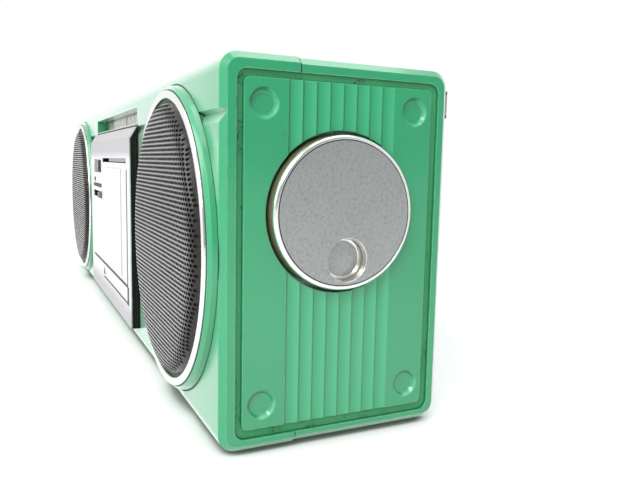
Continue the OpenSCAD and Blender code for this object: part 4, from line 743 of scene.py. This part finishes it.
def circle_y(x, z, radius, forward, count=AROUND):
    """Points of circles about an axis along Y: x + r cos a, front - forward, z + r sin a."""
    a = np.arange(count) * 2 * math.pi / count
    radius, forward = np.asarray(radius, float)[:, None], np.asarray(forward, float)[:, None]
    return np.stack([x + radius * np.cos(a), FRONT - forward * np.ones_like(a), z + radius * np.sin(a)], -1)


def turned(side, section):
    """A closed section of (radius, height) corners, carried round the speaker's axis."""
    radius, forward = np.array(section).T
    return loft(circle_y(side * SPEAKER_X, SPEAKER_Z, radius, forward), tyre=True)


def ring(side):
    """Section: radius = middle + half * cos^0.6, height = foot + rise * sin^0.6, from the outside over the top."""
    t = np.linspace(0, math.pi, 13)
    middle, half = (RING_IN + RING_OUT) / 2, (RING_OUT - RING_IN) / 2
    radius = middle + half * np.sign(np.cos(t)) * np.abs(np.cos(t)) ** SQUARE
    forward = RING_FOOT + (RING_TOP - RING_FOOT) * np.abs(np.sin(t)) ** SQUARE
    return turned(side, np.column_stack([radius, forward]))


piece("bright_rings", join([ring(1), ring(-1)]), "cabinet", bright_trim, ["speaker_rings"])

# %% [markdown]
# ## Tuning wheel
#
# The big disc on the end is turned by a fingertip in its round dimple. Cutting the dimple out of a disc would
# leave a poor mesh, so the disc is one family of nested circles: they start round the dimple's middle and slide
# over to the wheel's middle while they grow, then go on over the bevel and down the side.

# %% Wheel
WHEEL_R, WHEEL_Y, WHEEL_Z, WHEEL_FACE, WHEEL_BACK = 32.1, FRONT + 52.2, 97.0, END + 4.65, END - 7.0
DIMPLE_R, FLOOR_R, DIMPLE_DROP, DIMPLE_SIDE, DIMPLE_D = 9.3, 8.0, 19.37, 1.02, 5.4
BEVEL = 1.7
FACE, BRIGHT, LINE, SIDE = 0, 1, 2, 3


def wheel():
    """Bands of circles in the YZ plane, each row a share of the way from dimple to middle, a radius and a height.
    The dimple's wall is half a sine wave between floor and lip, the bevel a quarter circle."""
    face_r = WHEEL_R - BEVEL
    s = np.linspace(0, 1, 12)
    wall = zip(s, FLOOR_R + (DIMPLE_R - FLOOR_R) * s, -DIMPLE_D * (1 + np.cos(math.pi * s)) / 2)
    quarter = np.linspace(0.08, math.pi / 2, 8)
    bands = [
        (FACE, [(0, r, -DIMPLE_D) for r in (0.02, 3.0, 6.0, FLOOR_R - 0.3)]),
        # Painted reflection: the middle of the dimple's wall takes the side's brown, between bright bands.
        *((SIDE if 0.4 < k < 0.6 else BRIGHT, [(0, radius, height)]) for k, radius, height in wall),
        (FACE, [(k, DIMPLE_R + 0.2 + k * (face_r - 0.6 - DIMPLE_R - 0.2), 0.0) for k in s]),
        (LINE, [(1, face_r - 0.5, -0.14), (1, face_r - 0.15, -0.14)]),
        (BRIGHT, [(1, face_r - 0.05, 0.0)]),
        (BRIGHT, [(1, face_r + BEVEL * math.sin(q), -BEVEL * (1 - math.cos(q))) for q in quarter]),
        (SIDE, [(1, WHEEL_R, k * (WHEEL_BACK - WHEEL_FACE)) for k in (0.3, 0.6, 1.0)]),
    ]
    share, radius, height = np.array([row for _, rows in bands for row in rows]).T
    kinds = np.array([kind for kind, rows in bands for _ in rows])
    a = np.arange(AROUND) * 2 * math.pi / AROUND
    y = (WHEEL_Y + DIMPLE_SIDE * (1 - share))[:, None] + radius[:, None] * np.cos(a)
    z = (WHEEL_Z - DIMPLE_DROP * (1 - share))[:, None] + radius[:, None] * np.sin(a)
    x = np.broadcast_to((WHEEL_FACE + height)[:, None], y.shape)
    return loft(np.stack([x, y, z], -1)), np.concatenate([kinds[1:].repeat(AROUND), [FACE, SIDE]])


# %% Wheel finish and piece
speckled_face, tree, shader = blank("speckled_face")
drift = use(tree, blotch_group, Scale=22.0, Contrast=2.0)
smudge = ramp(tree, noise(tree, 760.0, 6.0, 0.7), 0.42, 0.8)
pits = times(tree, ramp(tree, noise(tree, 2400.0, 3.0, 0.7), 0.58, 0.7),
             ramp(tree, noise(tree, 70.0, 3.0, 0.6), 0.45, 0.7))
look = mix(tree, drift, tint(178, 182, 181), tint(166, 170, 169))
look = mix(tree, smudge, look, tint(140, 143, 142))
look = mix(tree, pits, look, tint(108, 108, 104))
tree.links.new(look, shader.inputs["Base Color"])
shader.inputs["Metallic"].default_value = 0.7
tree.links.new(math_node(tree, "MULTIPLY_ADD", smudge, 0.16, 0.34), shader.inputs["Roughness"])
bump = node(tree, "Bump", {"Height": pits, "Distance": -0.00002, "Strength": 0.4})
tree.links.new(bump.outputs[0], shader.inputs["Normal"])
# The side's brown tone stands both for duller aged metal and for a painted reflection of the dark surroundings.
aged_reflection_side = finish("aged_reflection_side", tint(176, 164, 134), tint(150, 138, 108), 0.34, 0.12, 0.5, stain=tint(96, 86, 64),
                   spread=0.6, grain=1200.0, depth=0.00001, scratch=0.5)
wheel_shape, wheel_kinds = wheel()
piece("tuning_wheel", wheel_shape, "tuning_knob", [speckled_face, bright_trim, matt_black, aged_reflection_side],
      ["tuning_knob"], wheel_kinds)

# %% [markdown]
# ## Soft blocks
#
# Keys, caps and buttons are moulded: their edges are rounded and a fingertip's hollow is sunk in the top. A box with
# a bevel modifier would round the edges but not sink the top. So a block is a pile of rounded rectangles: up the
# wall, over a quarter circle, then shrinking towards the middle of the hollow. Slider caps get ribs across instead.

# %% Block helpers
TOP_STEPS = (0.9, 0.75, 0.55, 0.3, 0.05)


def rounded(w, d, r, n=6):
    """Outline of a rectangle w x d about the origin with corners of radius r, n points on each corner."""
    a = np.arange(4)[:, None] * math.pi / 2 + np.linspace(0, math.pi / 2, n)
    cx = np.array([1, -1, -1, 1])[:, None] * (w / 2 - r)
    cy = np.array([1, 1, -1, -1])[:, None] * (d / 2 - r)
    return np.stack([cx + r * np.cos(a), cy + r * np.sin(a)], -1).reshape(-1, 2)


def hollow(xy, w, d, depth):
    """Sink of a dished top: depth * (1 - u^2) * (1 - v^2), where u and v run from -1 to 1 across it."""
    u, v = np.clip(np.abs(xy.T) / np.array([[w / 2], [d / 2]]), 0, 1)
    return depth * (1 - u ** 2) * (1 - v ** 2)


def soft_block(lo, hi, corner, edge, depth):
    """A moulded block between two opposite corners: wall, rounded edge and dished top, its face up."""
    lo, hi = np.asarray(lo, float), np.asarray(hi, float)
    w, d, h = hi - lo
    q = np.linspace(0, math.pi / 2, 6)
    inset = np.concatenate([[0.0], edge * (1 - np.cos(q))])
    level = np.concatenate([[0.0], h - edge + edge * np.sin(q)])
    flat = [rounded(w - 2 * i, d - 2 * i, max(corner - i, 0.15)) for i in inset]
    flat += [flat[-1] * s for s in TOP_STEPS]
    sunk = [np.full(len(flat[0]), z) for z in level]
    sunk += [h - hollow(f, w - 2 * edge, d - 2 * edge, depth) for f in flat[len(level):]]
    return loft(np.dstack([flat, sunk]) + np.array([*(lo + hi)[:2] / 2, lo[2]]))


# %% Ribbed caps and plain boxes
CAP_EDGE = 0.6


def ribbed_cap(lo, hi, pitch, depth):
    """A cap whose section across has round upper edges; along X its height goes up and down as a cosine of pitch."""
    lo, hi = np.asarray(lo, float), np.asarray(hi, float)
    x = np.linspace(lo[0], hi[0], int((hi[0] - lo[0]) / pitch * 8) + 1)
    top = hi[2] - depth * (0.5 + 0.5 * np.cos(2 * math.pi * (x - lo[0]) / pitch))
    q = np.linspace(0, math.pi / 2, 5)
    s, c = CAP_EDGE * (1 - np.sin(q)), CAP_EDGE * (1 - np.cos(q))
    y = np.concatenate([[lo[1], hi[1]], hi[1] - c, lo[1] + s])
    z = top[:, None] - np.concatenate([[1.0, 1.0], s, c])
    z[:, :2] = lo[2]
    return loft(np.stack([np.broadcast_to(x[:, None], z.shape), np.broadcast_to(y, z.shape), z], -1))


def block(lo, hi):
    """A plain box between two opposite corners."""
    (x0, y0, z0), (x1, y1, z1) = lo, hi
    return loft([[(x0, y0, z), (x1, y0, z), (x1, y1, z), (x0, y1, z)] for z in (z0, z1)])


def to_front(shape):
    """Turns a shape drawn face up so that it faces forward: its Y becomes height, its height points to -Y."""
    points, faces = shape
    return np.stack([points[:, 0], -points[:, 2], points[:, 1]], -1), faces


# %% [markdown]
# ## Print
#
# Numbers and signs are printed, a few hundredths of a millimetre thick. A picture texture would be blurred when one
# comes close, so each sign is a thin solid: its outline is cut into triangles, the triangles are halved until they
# are small enough to follow a curved ground, and the sign is given a front, a back and a wall.

# %% Flat signs as triangles


def letters(text, size):
    """Triangles of a text in the built-in typeface, centred on the origin: points and corner numbers."""
    curve = bpy.data.curves.new("print", "FONT")
    curve.body, curve.size, curve.align_x, curve.align_y = text, size, "CENTER", "CENTER"
    curve.resolution_u = 3
    holder = bpy.data.objects.new("print", curve)
    mesh = bpy.data.meshes.new_from_object(holder)
    mesh.calc_loop_triangles()
    xy = np.empty(len(mesh.vertices) * 3)
    corner = np.empty(len(mesh.loop_triangles) * 3, np.int32)
    mesh.vertices.foreach_get("co", xy)
    mesh.loop_triangles.foreach_get("vertices", corner)
    bpy.data.objects.remove(holder)
    bpy.data.curves.remove(curve)
    bpy.data.meshes.remove(mesh)
    return weld(xy.reshape(-1, 3)[:, :2], corner.reshape(-1, 3))


def weld(xy, corner):
    """Joins equal points, and drops triangles that lost a corner."""
    kept, place = np.unique(np.round(xy, 5), axis=0, return_inverse=True)
    corner = place.reshape(-1)[corner]
    whole = (corner[:, 0] != corner[:, 1]) & (corner[:, 1] != corner[:, 2]) & (corner[:, 2] != corner[:, 0])
    return kept, corner[whole]


def halve(xy, corner, rounds):
    """Each round puts a point on the middle of every side, which makes four triangles of one."""
    for _ in range(rounds):
        a, b, c = xy[corner.T]
        soup = np.stack([a, (a + b) / 2, (c + a) / 2, (a + b) / 2, b, (b + c) / 2, (c + a) / 2, (b + c) / 2, c,
                         (a + b) / 2, (b + c) / 2, (c + a) / 2], 1).reshape(-1, 2)
        xy, corner = weld(soup, np.arange(len(soup)).reshape(-1, 3))
    return xy, corner


# %% Signs as thin solids


PRINT_THICK, PRINT_SUNK = 0.05, 0.01


def stamp(xy, corner, lay, thick=PRINT_THICK):
    """A thin solid from flat triangles: lay(xy, lift) puts them at a height over the ground; a wall joins both
    skins."""
    a, b, c = xy[corner.T]
    turn = (b[:, 0] - a[:, 0]) * (c[:, 1] - a[:, 1]) - (b[:, 1] - a[:, 1]) * (c[:, 0] - a[:, 0]) < 0
    corner = np.where(turn[:, None], corner[:, ::-1], corner)
    n = len(xy)
    side = np.concatenate([corner[:, [0, 1]], corner[:, [1, 2]], corner[:, [2, 0]]])
    rim = side[~np.isin(side[:, 0] * n + side[:, 1], side[:, 1] * n + side[:, 0])]
    walls = np.stack([rim[:, 1], rim[:, 0], rim[:, 0] + n, rim[:, 1] + n], -1)
    points = np.concatenate([lay(xy, thick), lay(xy, -PRINT_SUNK)])
    return points, corner.tolist() + (corner[:, ::-1] + n).tolist() + walls.tolist()


def polygon(*corners):
    """Triangles of a convex polygon, as a fan from its first corner."""
    n = len(corners)
    return np.array(corners, float), np.stack([np.zeros(n - 2, int), np.arange(1, n - 1), np.arange(2, n)], -1)


def bar(x0, x1, y0, y1):
    """Two triangles of an upright rectangle."""
    return polygon((x0, y0), (x1, y0), (x1, y1), (x0, y1))


# %% [markdown]
# ## Tape keys
#
# Six keys stand in a row behind the dial; each rocks on a shaft under the top. A key is a dished cap, a sloping arm
# and a hub with a bore. The signs on the caps are the plain ones that any tape machine has.

# %% Keys
CAP_D, CAP_H, CAP_CORNER, CAP_ROUND, CAP_DISH, SIGN_FORWARD = 16.8, 6.0, 1.2, 0.9, 0.8, 2.2
AXIS_BACK, AXIS_DROP, HUB_R, BORE_R = 18.5, 9.0, 3.4, 2.15
ARM_IN, ARM_START, ARM_DROP, ARM_BACK, ARM_HALF = 0.4, 8.0, 5.5, 2.4, 2.3


def tube_x(x0, x1, y, z, outer, inner, count=40):
    """A tube along X: a rectangular section between two radii, carried round the axis."""
    a = np.arange(count) * 2 * math.pi / count
    x = np.array([x0, x1, x1, x0])[:, None]
    r = np.array([outer, outer, inner, inner])[:, None]
    return loft(np.stack([x + 0 * a, y + r * np.cos(a), z + r * np.sin(a)], -1), tyre=True)


def key(name):
    """Cap, arm and hub of one key, placed by the box of its solid."""
    lo, hi = drawn_box(name)
    x0, x1, front, top = lo[0], hi[0], lo[1], hi[2]
    y, z = front + AXIS_BACK, top - AXIS_DROP
    section = [(front + ARM_START, top - ARM_DROP), (front + CAP_D, top - ARM_DROP),
               (y - ARM_BACK, z + ARM_HALF), (y - ARM_BACK, z - ARM_HALF)]
    arm = loft([[(x, *p) for p in section] for x in (x0 + ARM_IN, x1 - ARM_IN)])
    cap = soft_block((x0, front, top - CAP_H), (x1, front + CAP_D, top), CAP_CORNER, CAP_ROUND, CAP_DISH)
    return join([cap, arm, tube_x(x0 + ARM_IN, x1 - ARM_IN, y, z, HUB_R, BORE_R)])


# %% Key signs and pieces
turn = np.arange(20) * math.pi / 10
KEY_SIGNS = {
    "key_record": [polygon(*np.stack([1.7 * np.cos(turn), 1.7 * np.sin(turn)], -1))],
    "key_play": [polygon((-1.5, -1.9), (1.9, 0), (-1.5, 1.9))],
    "key_rewind": [polygon((0, -1.6), (0, 1.6), (-2.7, 0)), polygon((2.7, -1.6), (2.7, 1.6), (0, 0))],
    "key_fast_forward": [polygon((0, 1.6), (0, -1.6), (2.7, 0)), polygon((-2.7, 1.6), (-2.7, -1.6), (0, 0))],
    "key_stop_eject": [bar(-3.6, -0.8, -1.4, 1.4), bar(0.8, 4.0, -1.4, -0.8),
                       polygon((0.8, -0.3), (4.0, -0.3), (2.4, 1.5))],
    "key_pause": [bar(-1.6, -0.6, -1.7, 1.7), bar(0.6, 1.6, -1.7, 1.7)],
}
for name, signs in KEY_SIGNS.items():
    lo, hi = drawn_box(name)
    middle = np.array([(lo[0] + hi[0]) / 2, lo[1] + CAP_D / 2])
    wide, long = hi[0] - lo[0] - 2 * CAP_ROUND, CAP_D - 2 * CAP_ROUND

    def on_cap(xy, lift):
        """The cap's own hollow, plus the print's thickness."""
        xy = xy - np.array([0, SIGN_FORWARD])
        return np.column_stack([xy + middle, hi[2] - hollow(xy, wide, long, CAP_DISH) + lift])

    shape = key(name)
    marks = [stamp(*halve(*sign, 2), on_cap) for sign in signs]
    piece(f"soft_{name}", join([shape] + marks), name,
          [key_silver, pointer_red if name == "key_record" else print_dark], [name],
          kinds_of((0, [shape]), (1, marks)))

# %% [markdown]
# ## Sliders and the reset button
#
# The volume and function sliders ride in slits in the top, the small slider in a slot of the panel. Their caps are
# ribbed across the way they move. The counter's reset button beside the window is a dished black pad on a flange.

# %% Sliders and button
TOP_RIBS, FRONT_RIBS = (1.25, 0.45), (1.0, 0.35)
for name in ("volume_slider", "function_switch"):
    lo, hi = drawn_box(name)
    mid = (lo + hi) / 2
    shape = join([ribbed_cap((lo[0], lo[1], hi[2] - 4), hi, *TOP_RIBS),
                  block((mid[0] - 2.5, mid[1] - 0.9, lo[2]), (mid[0] + 2.5, mid[1] + 0.9, hi[2] - 3))])
    piece(f"ribbed_{name}", shape, name, key_silver, [name])
lo, hi = drawn_box("front_slider")
mid = (lo + hi) / 2
cap = to_front(ribbed_cap((lo[0], lo[2], -lo[1] - 2.2), (hi[0], hi[2], -lo[1]), *FRONT_RIBS))
stem = block((lo[0] + 2, lo[1] + 1.6, mid[2] - 0.8), (hi[0] - 2, hi[1], mid[2] + 0.8))
piece("ribbed_front_slider", join([cap, stem]), "front_slider", slider_grey, ["front_slider"])
lo, hi = drawn_box("reset_button")
pad = to_front(soft_block((lo[0] + 1, lo[2] + 1.2, -hi[1] + 0.7), (hi[0] - 1.2, hi[2] - 1.2, -lo[1]), 0.7, 0.5, 0.5))
flange = block((lo[0], hi[1] - 1.2, lo[2]), hi)
piece("reset_pad", join([pad, flange]), "reset_button", matt_black, ["reset_button"])

# %% [markdown]
# ## Dial print and counter numbers
#
# The dial plate behind the long window carries two scales of plain numbers with ticks, and a line between them. The
# counter's wheels carry the ten figures round their rims, bent with the rim.

# %% Dial
PLATE_Y = drawn_box("dial_scale")[1][1] - 1.2
SCALE_HALF = 72.0


def on_plate(x, z):
    """A function that lays flat print on the dial plate round one point."""
    return lambda xy, lift: np.column_stack([xy[:, 0] + x, np.full(len(xy), PLATE_Y - lift), xy[:, 1] + z])


def scale(numbers, shares, z, tick_z):
    """One row of numbers and, towards the line, a tick for each and three fine ticks between two of them."""
    x = -SCALE_HALF + 2 * SCALE_HALF * np.asarray(shares)
    fine = np.interp(np.arange(4 * len(x) - 3) / 4, np.arange(len(x)), x)
    marks = [stamp(*letters(str(n), 2.6), on_plate(p, z)) for n, p in zip(numbers, x)]
    tall = np.where(np.arange(len(fine)) % 4 == 0, 0.7, 0.4)
    return marks + [stamp(*bar(-0.12, 0.12, -t, t), on_plate(p, tick_z)) for p, t in zip(fine, tall)]


upper = scale(range(88, 110, 2), np.linspace(0, 1, 11), 146.3, 144.5)
lower = scale((53, 60, 70, 80, 100, 120, 140, 160), (0, 0.12, 0.26, 0.38, 0.57, 0.73, 0.87, 1), 141.0, 142.8)
line = [stamp(*bar(-SCALE_HALF - 6, SCALE_HALF + 6, -0.1, 0.1), on_plate(0, 143.65))]
piece("dial_print", join(upper + lower + line), "cabinet", [print_dark, pointer_red],
      kinds=kinds_of((0, upper + lower), (1, line)))

# %% Counter numbers
for place in ("hundreds", "tens", "units"):
    lo, hi = drawn_box(f"counter_wheel_{place}")
    mid, rim = (lo + hi) / 2, (hi[2] - lo[2]) / 2

    def on_rim(figure):
        """Wraps a figure round the rim: along X as drawn, and its height as an angle from the front over the top."""
        def lay(xy, lift):
            a, r = xy[:, 1] / rim - figure * math.pi / 5, rim + lift
            return np.column_stack([mid[0] + xy[:, 0], mid[1] - r * np.cos(a), mid[2] + r * np.sin(a)])
        return lay

    figures = [stamp(*halve(*letters(str(n), 3.6), 2), on_rim(n), 0.03) for n in range(10)]
    piece(f"figures_{place}", join(figures), f"counter_wheel_{place}", print_dark)

# %% [markdown]
# ## Small things on the panel
#
# A dark signal lamp stands under the counter with a printed bar below it, and a thin metal catch lies across the
# finger slot over the door. The shade in gaps and grooves is painted as dark lines: the crease across panel and door
# with a painted shadow wedge at its end, the joint beside the door and the line over the panel. All of them are too
# thin to matter as solids, so they are only drawn here.

# %% Lamp and catch
PANEL_Y = drawn_box("fascia_plate")[0][1]
DOOR_LO, DOOR_HI = drawn_box("cassette_door")
LAMP_X, LAMP_Z, LAMP_R, LAMP_RISE = -68, 100.8, 2.0, 0.8
b = np.linspace(0.06, math.pi / 2, 7)[:, None]
a = np.arange(28) * 2 * math.pi / 28
dome = np.stack([LAMP_X + LAMP_R * np.sin(b) * np.cos(a), PANEL_Y - LAMP_RISE * np.cos(b) + 0 * a,
                 LAMP_Z + LAMP_R * np.sin(b) * np.sin(a)], -1)
dome = np.concatenate([dome, dome[-1:] + np.array([0, 0.02, 0])])
piece("signal_lamp", loft(dome), "cabinet", matt_black)
catch = block((6, PANEL_Y + 0.6, DOOR_HI[2] + 0.6), (DOOR_HI[0] + 0.2, PANEL_Y + 1.8, DOOR_HI[2] + 2.9))
piece("door_catch", catch, "cabinet", dull_nickel)

# %% Printed bar and painted shade lines
CREASE_Z, CREASE_HALF = DOOR_LO[2] + 11.5, 0.95
CREASE_LO, CREASE_HI = CREASE_Z - CREASE_HALF, CREASE_Z + CREASE_HALF
BESIDE = DOOR_HI[0] + 0.35


def on_front(y):
    """A function that lays flat print on an upright face at depth y."""
    return lambda xy, lift: np.column_stack([xy[:, 0], np.full(len(xy), y - lift), xy[:, 1]])


# The first bar is the print under the lamp; the others are painted shade of the crease and of the joint beside the
# door.
print_and_shade_bars = [(-78, -31, 94.7, 97.7), (-80, DOOR_LO[0] - 0.4, CREASE_LO, CREASE_HI),
            (BESIDE, BESIDE + 3.0, CREASE_Z, DOOR_HI[2] - 4), (BESIDE, BESIDE + 6.0, DOOR_LO[2] - 0.4, CREASE_Z)]
print_and_shade_marks = [stamp(*bar(*one), on_front(PANEL_Y)) for one in print_and_shade_bars]
# Painted shadow along the line over the panel's sloped top.
print_and_shade_marks.append(stamp(*bar(-94.4, 94.4, 137.2, 138.4), on_front(FRONT)))
piece("panel_print_and_shade", join(print_and_shade_marks), "cabinet", print_dark)
# Painted shade on the door: the crease across it and a painted shadow wedge at the lower lip's end.
lip_shadow_wedge = polygon((DOOR_LO[0] + 0.3, 27.5), (DOOR_LO[0] + 9.5, 29.0), (DOOR_LO[0] + 0.3, 33.8))
door_shade_bar = bar(DOOR_LO[0] + 0.1, DOOR_HI[0] - 0.1, CREASE_LO, CREASE_HI)
crease_shade = [stamp(*one, on_front(PANEL_Y)) for one in (door_shade_bar, lip_shadow_wedge)]
piece("door_crease_shade", join(crease_shade), "cassette_door", print_dark)

# %% [markdown]
# ## Seams and covers
#
# The two half shells meet in a narrow dark seam, each speaker drum and each bright ring stands in a painted shadow
# line, and a black strip covers the sides of the step under the panel. The groove round each end panel has a dirty
# floor, darker in its corners with grime and painted shade, and a band of the cabinet's green rounds each drum.
# These lines could be bumps in a finish, but a bump has no width of its own. So each one is a small section,
# carried along its path.

# %% Seams
SEAM_Y, SEAM_WIDE, SEAM_HALF = FRONT + 32.5, 0.7, 0.06
REAR_TOP, REAR_FOOT, REAR_END, CHAMFER = 158.6, 0.4, 260.6, 2.6
RIM_DROP, RIM_RISE = -5.8, 4.5


def seam(upper):
    """A flat strip from rim to rim over the top or under the bottom: a path with cut corners, at two offsets."""
    slant = math.tan(math.pi / 8)
    paths = []
    for d in (SEAM_HALF, -SEAM_HALF):
        x = np.array([REAR_END + d, REAR_END + d, REAR_END - CHAMFER + d * slant])
        z = np.array([RIM_DROP, -CHAMFER + d * slant, d] if upper else [RIM_RISE, CHAMFER - d * slant, -d])
        paths.append((np.append(x, -x[::-1]), np.append(z, z[::-1]) + (REAR_TOP if upper else REAR_FOOT)))
    (xo, zo), (xi, zi) = paths
    near, rear = np.full(6, SEAM_Y), np.full(6, SEAM_Y + SEAM_WIDE)
    section = ((xo, near, zo), (xo, rear, zo), (xi, rear, zi), (xi, near, zi))
    return loft(np.stack([np.stack(corner, -1) for corner in section], 1))


# Painted shadow lines: a dark ribbon at each drum's foot and under each ring's outer edge.
DRUM_SHADOW_LINE = [(72.8, 0.06), (73.6, 0.06), (73.6, -0.04), (72.8, -0.04)]
RING_SHADOW_LINE = [(70.35, 4.12), (70.8, 4.12), (70.95, 3.7), (70.35, 3.7)]
lines = [turned(side, section) for side in (1, -1) for section in (DRUM_SHADOW_LINE, RING_SHADOW_LINE)]
piece("dark_seams_and_shadow_lines", join([seam(True), seam(False)] + lines), "cabinet", seat_shade_green)


# %% Grooves, drum bands and step covers
GROOVE_TOP, GROOVE_BACK = END - 1.5, END - 3.1
RIM_OPENING, RIM_MIDDLE, PANEL_OUTLINE = (93.0, 147.7, 4.4), (0.3, 78.85), (86.1, 140.8, 2.4)


def groove_floor(end):
    """A frame between two rounded rectangles in the YZ plane: the rim's opening and the end panel's outline."""
    outer = rounded(*RIM_OPENING) + np.array(RIM_MIDDLE)
    inner = rounded(*PANEL_OUTLINE) + np.array([*PANEL_MIDDLE.values()])
    section = ((outer, GROOVE_TOP), (inner, GROOVE_TOP), (inner, GROOVE_BACK), (outer, GROOVE_BACK))
    return loft([np.column_stack([np.full(len(f), end * x), f]) for f, x in section], tyre=True)


groove_green = finish("groove_green", tint(66, 164, 108), tint(54, 142, 92), 0.5, stain=tint(40, 74, 44), spread=0.53,
                      stain_scale=90.0, grime_and_shade=tint(10, 58, 32), reach=0.0013, grain=2400.0)
piece("groove_floors", join([groove_floor(1), groove_floor(-1)]), "cabinet", groove_green)
DRUM_BAND = [(70.7, 4.0), (72.25, 2.6), (72.5, 2.3), (73.0, 0.0), (70.7, 0.0)]
bands = [turned(side, DRUM_BAND) for side in (1, -1)]
piece("drum_bands", join(bands), "cabinet", cabinet_green, angle=20)
step_lo, step_hi = drawn_box("fascia_frame")
step_sides = ((step_hi[0] - 0.02, step_hi[0] + 0.23), (step_lo[0] - 0.23, step_lo[0] + 0.02))
covers = [block((x0, FRONT - 1.95, step_lo[2]), (x1, FRONT + 0.05, step_hi[2] - 6.4)) for x0, x1 in step_sides]
piece("step_covers", join(covers), "cabinet", matt_black)

# %% [markdown]
# ## Feet
#
# Four rubber feet carry the cabinet. A turned profile with a rounded foot is carried round a circle.

# %% Feet
FOOT_R, FOOT_EDGE, FOOT_WALL, SOLE_R, SOLE_Z = 7.0, 0.7, 0.9, 3.0, -1.45


def foot(x, y):
    """Profile from the cabinet down: full radius, a quarter circle at the lower edge, a slightly hollow sole."""
    b = np.linspace(0, math.pi / 2, 6)
    radius = np.concatenate([[FOOT_R], FOOT_R - FOOT_EDGE + FOOT_EDGE * np.cos(b), [SOLE_R]])[:, None]
    z = np.concatenate([[0.0], -FOOT_WALL - FOOT_EDGE * np.sin(b), [SOLE_Z]])[:, None]
    a = np.arange(40) * 2 * math.pi / 40
    return loft(np.stack([x + radius * np.cos(a), y + radius * np.sin(a), z + 0 * a], -1))


foot_lo, foot_hi = drawn_box("feet")
foot_x, foot_y = (foot_hi - foot_lo)[:2] / 2 - FOOT_R
foot_mid = (foot_lo + foot_hi)[1] / 2
piece("rubber_feet", join([foot(sx * foot_x, foot_mid + sy * foot_y) for sx in (-1, 1) for sy in (-1, 1)]),
      "cabinet", black_rubber, ["feet"])

# %% [markdown]
# ## View
#
# The Standard view shows colours as they are written.

# %% Finish
bpy.context.scene.view_settings.view_transform = "Standard"
bpy.context.view_layer.update()
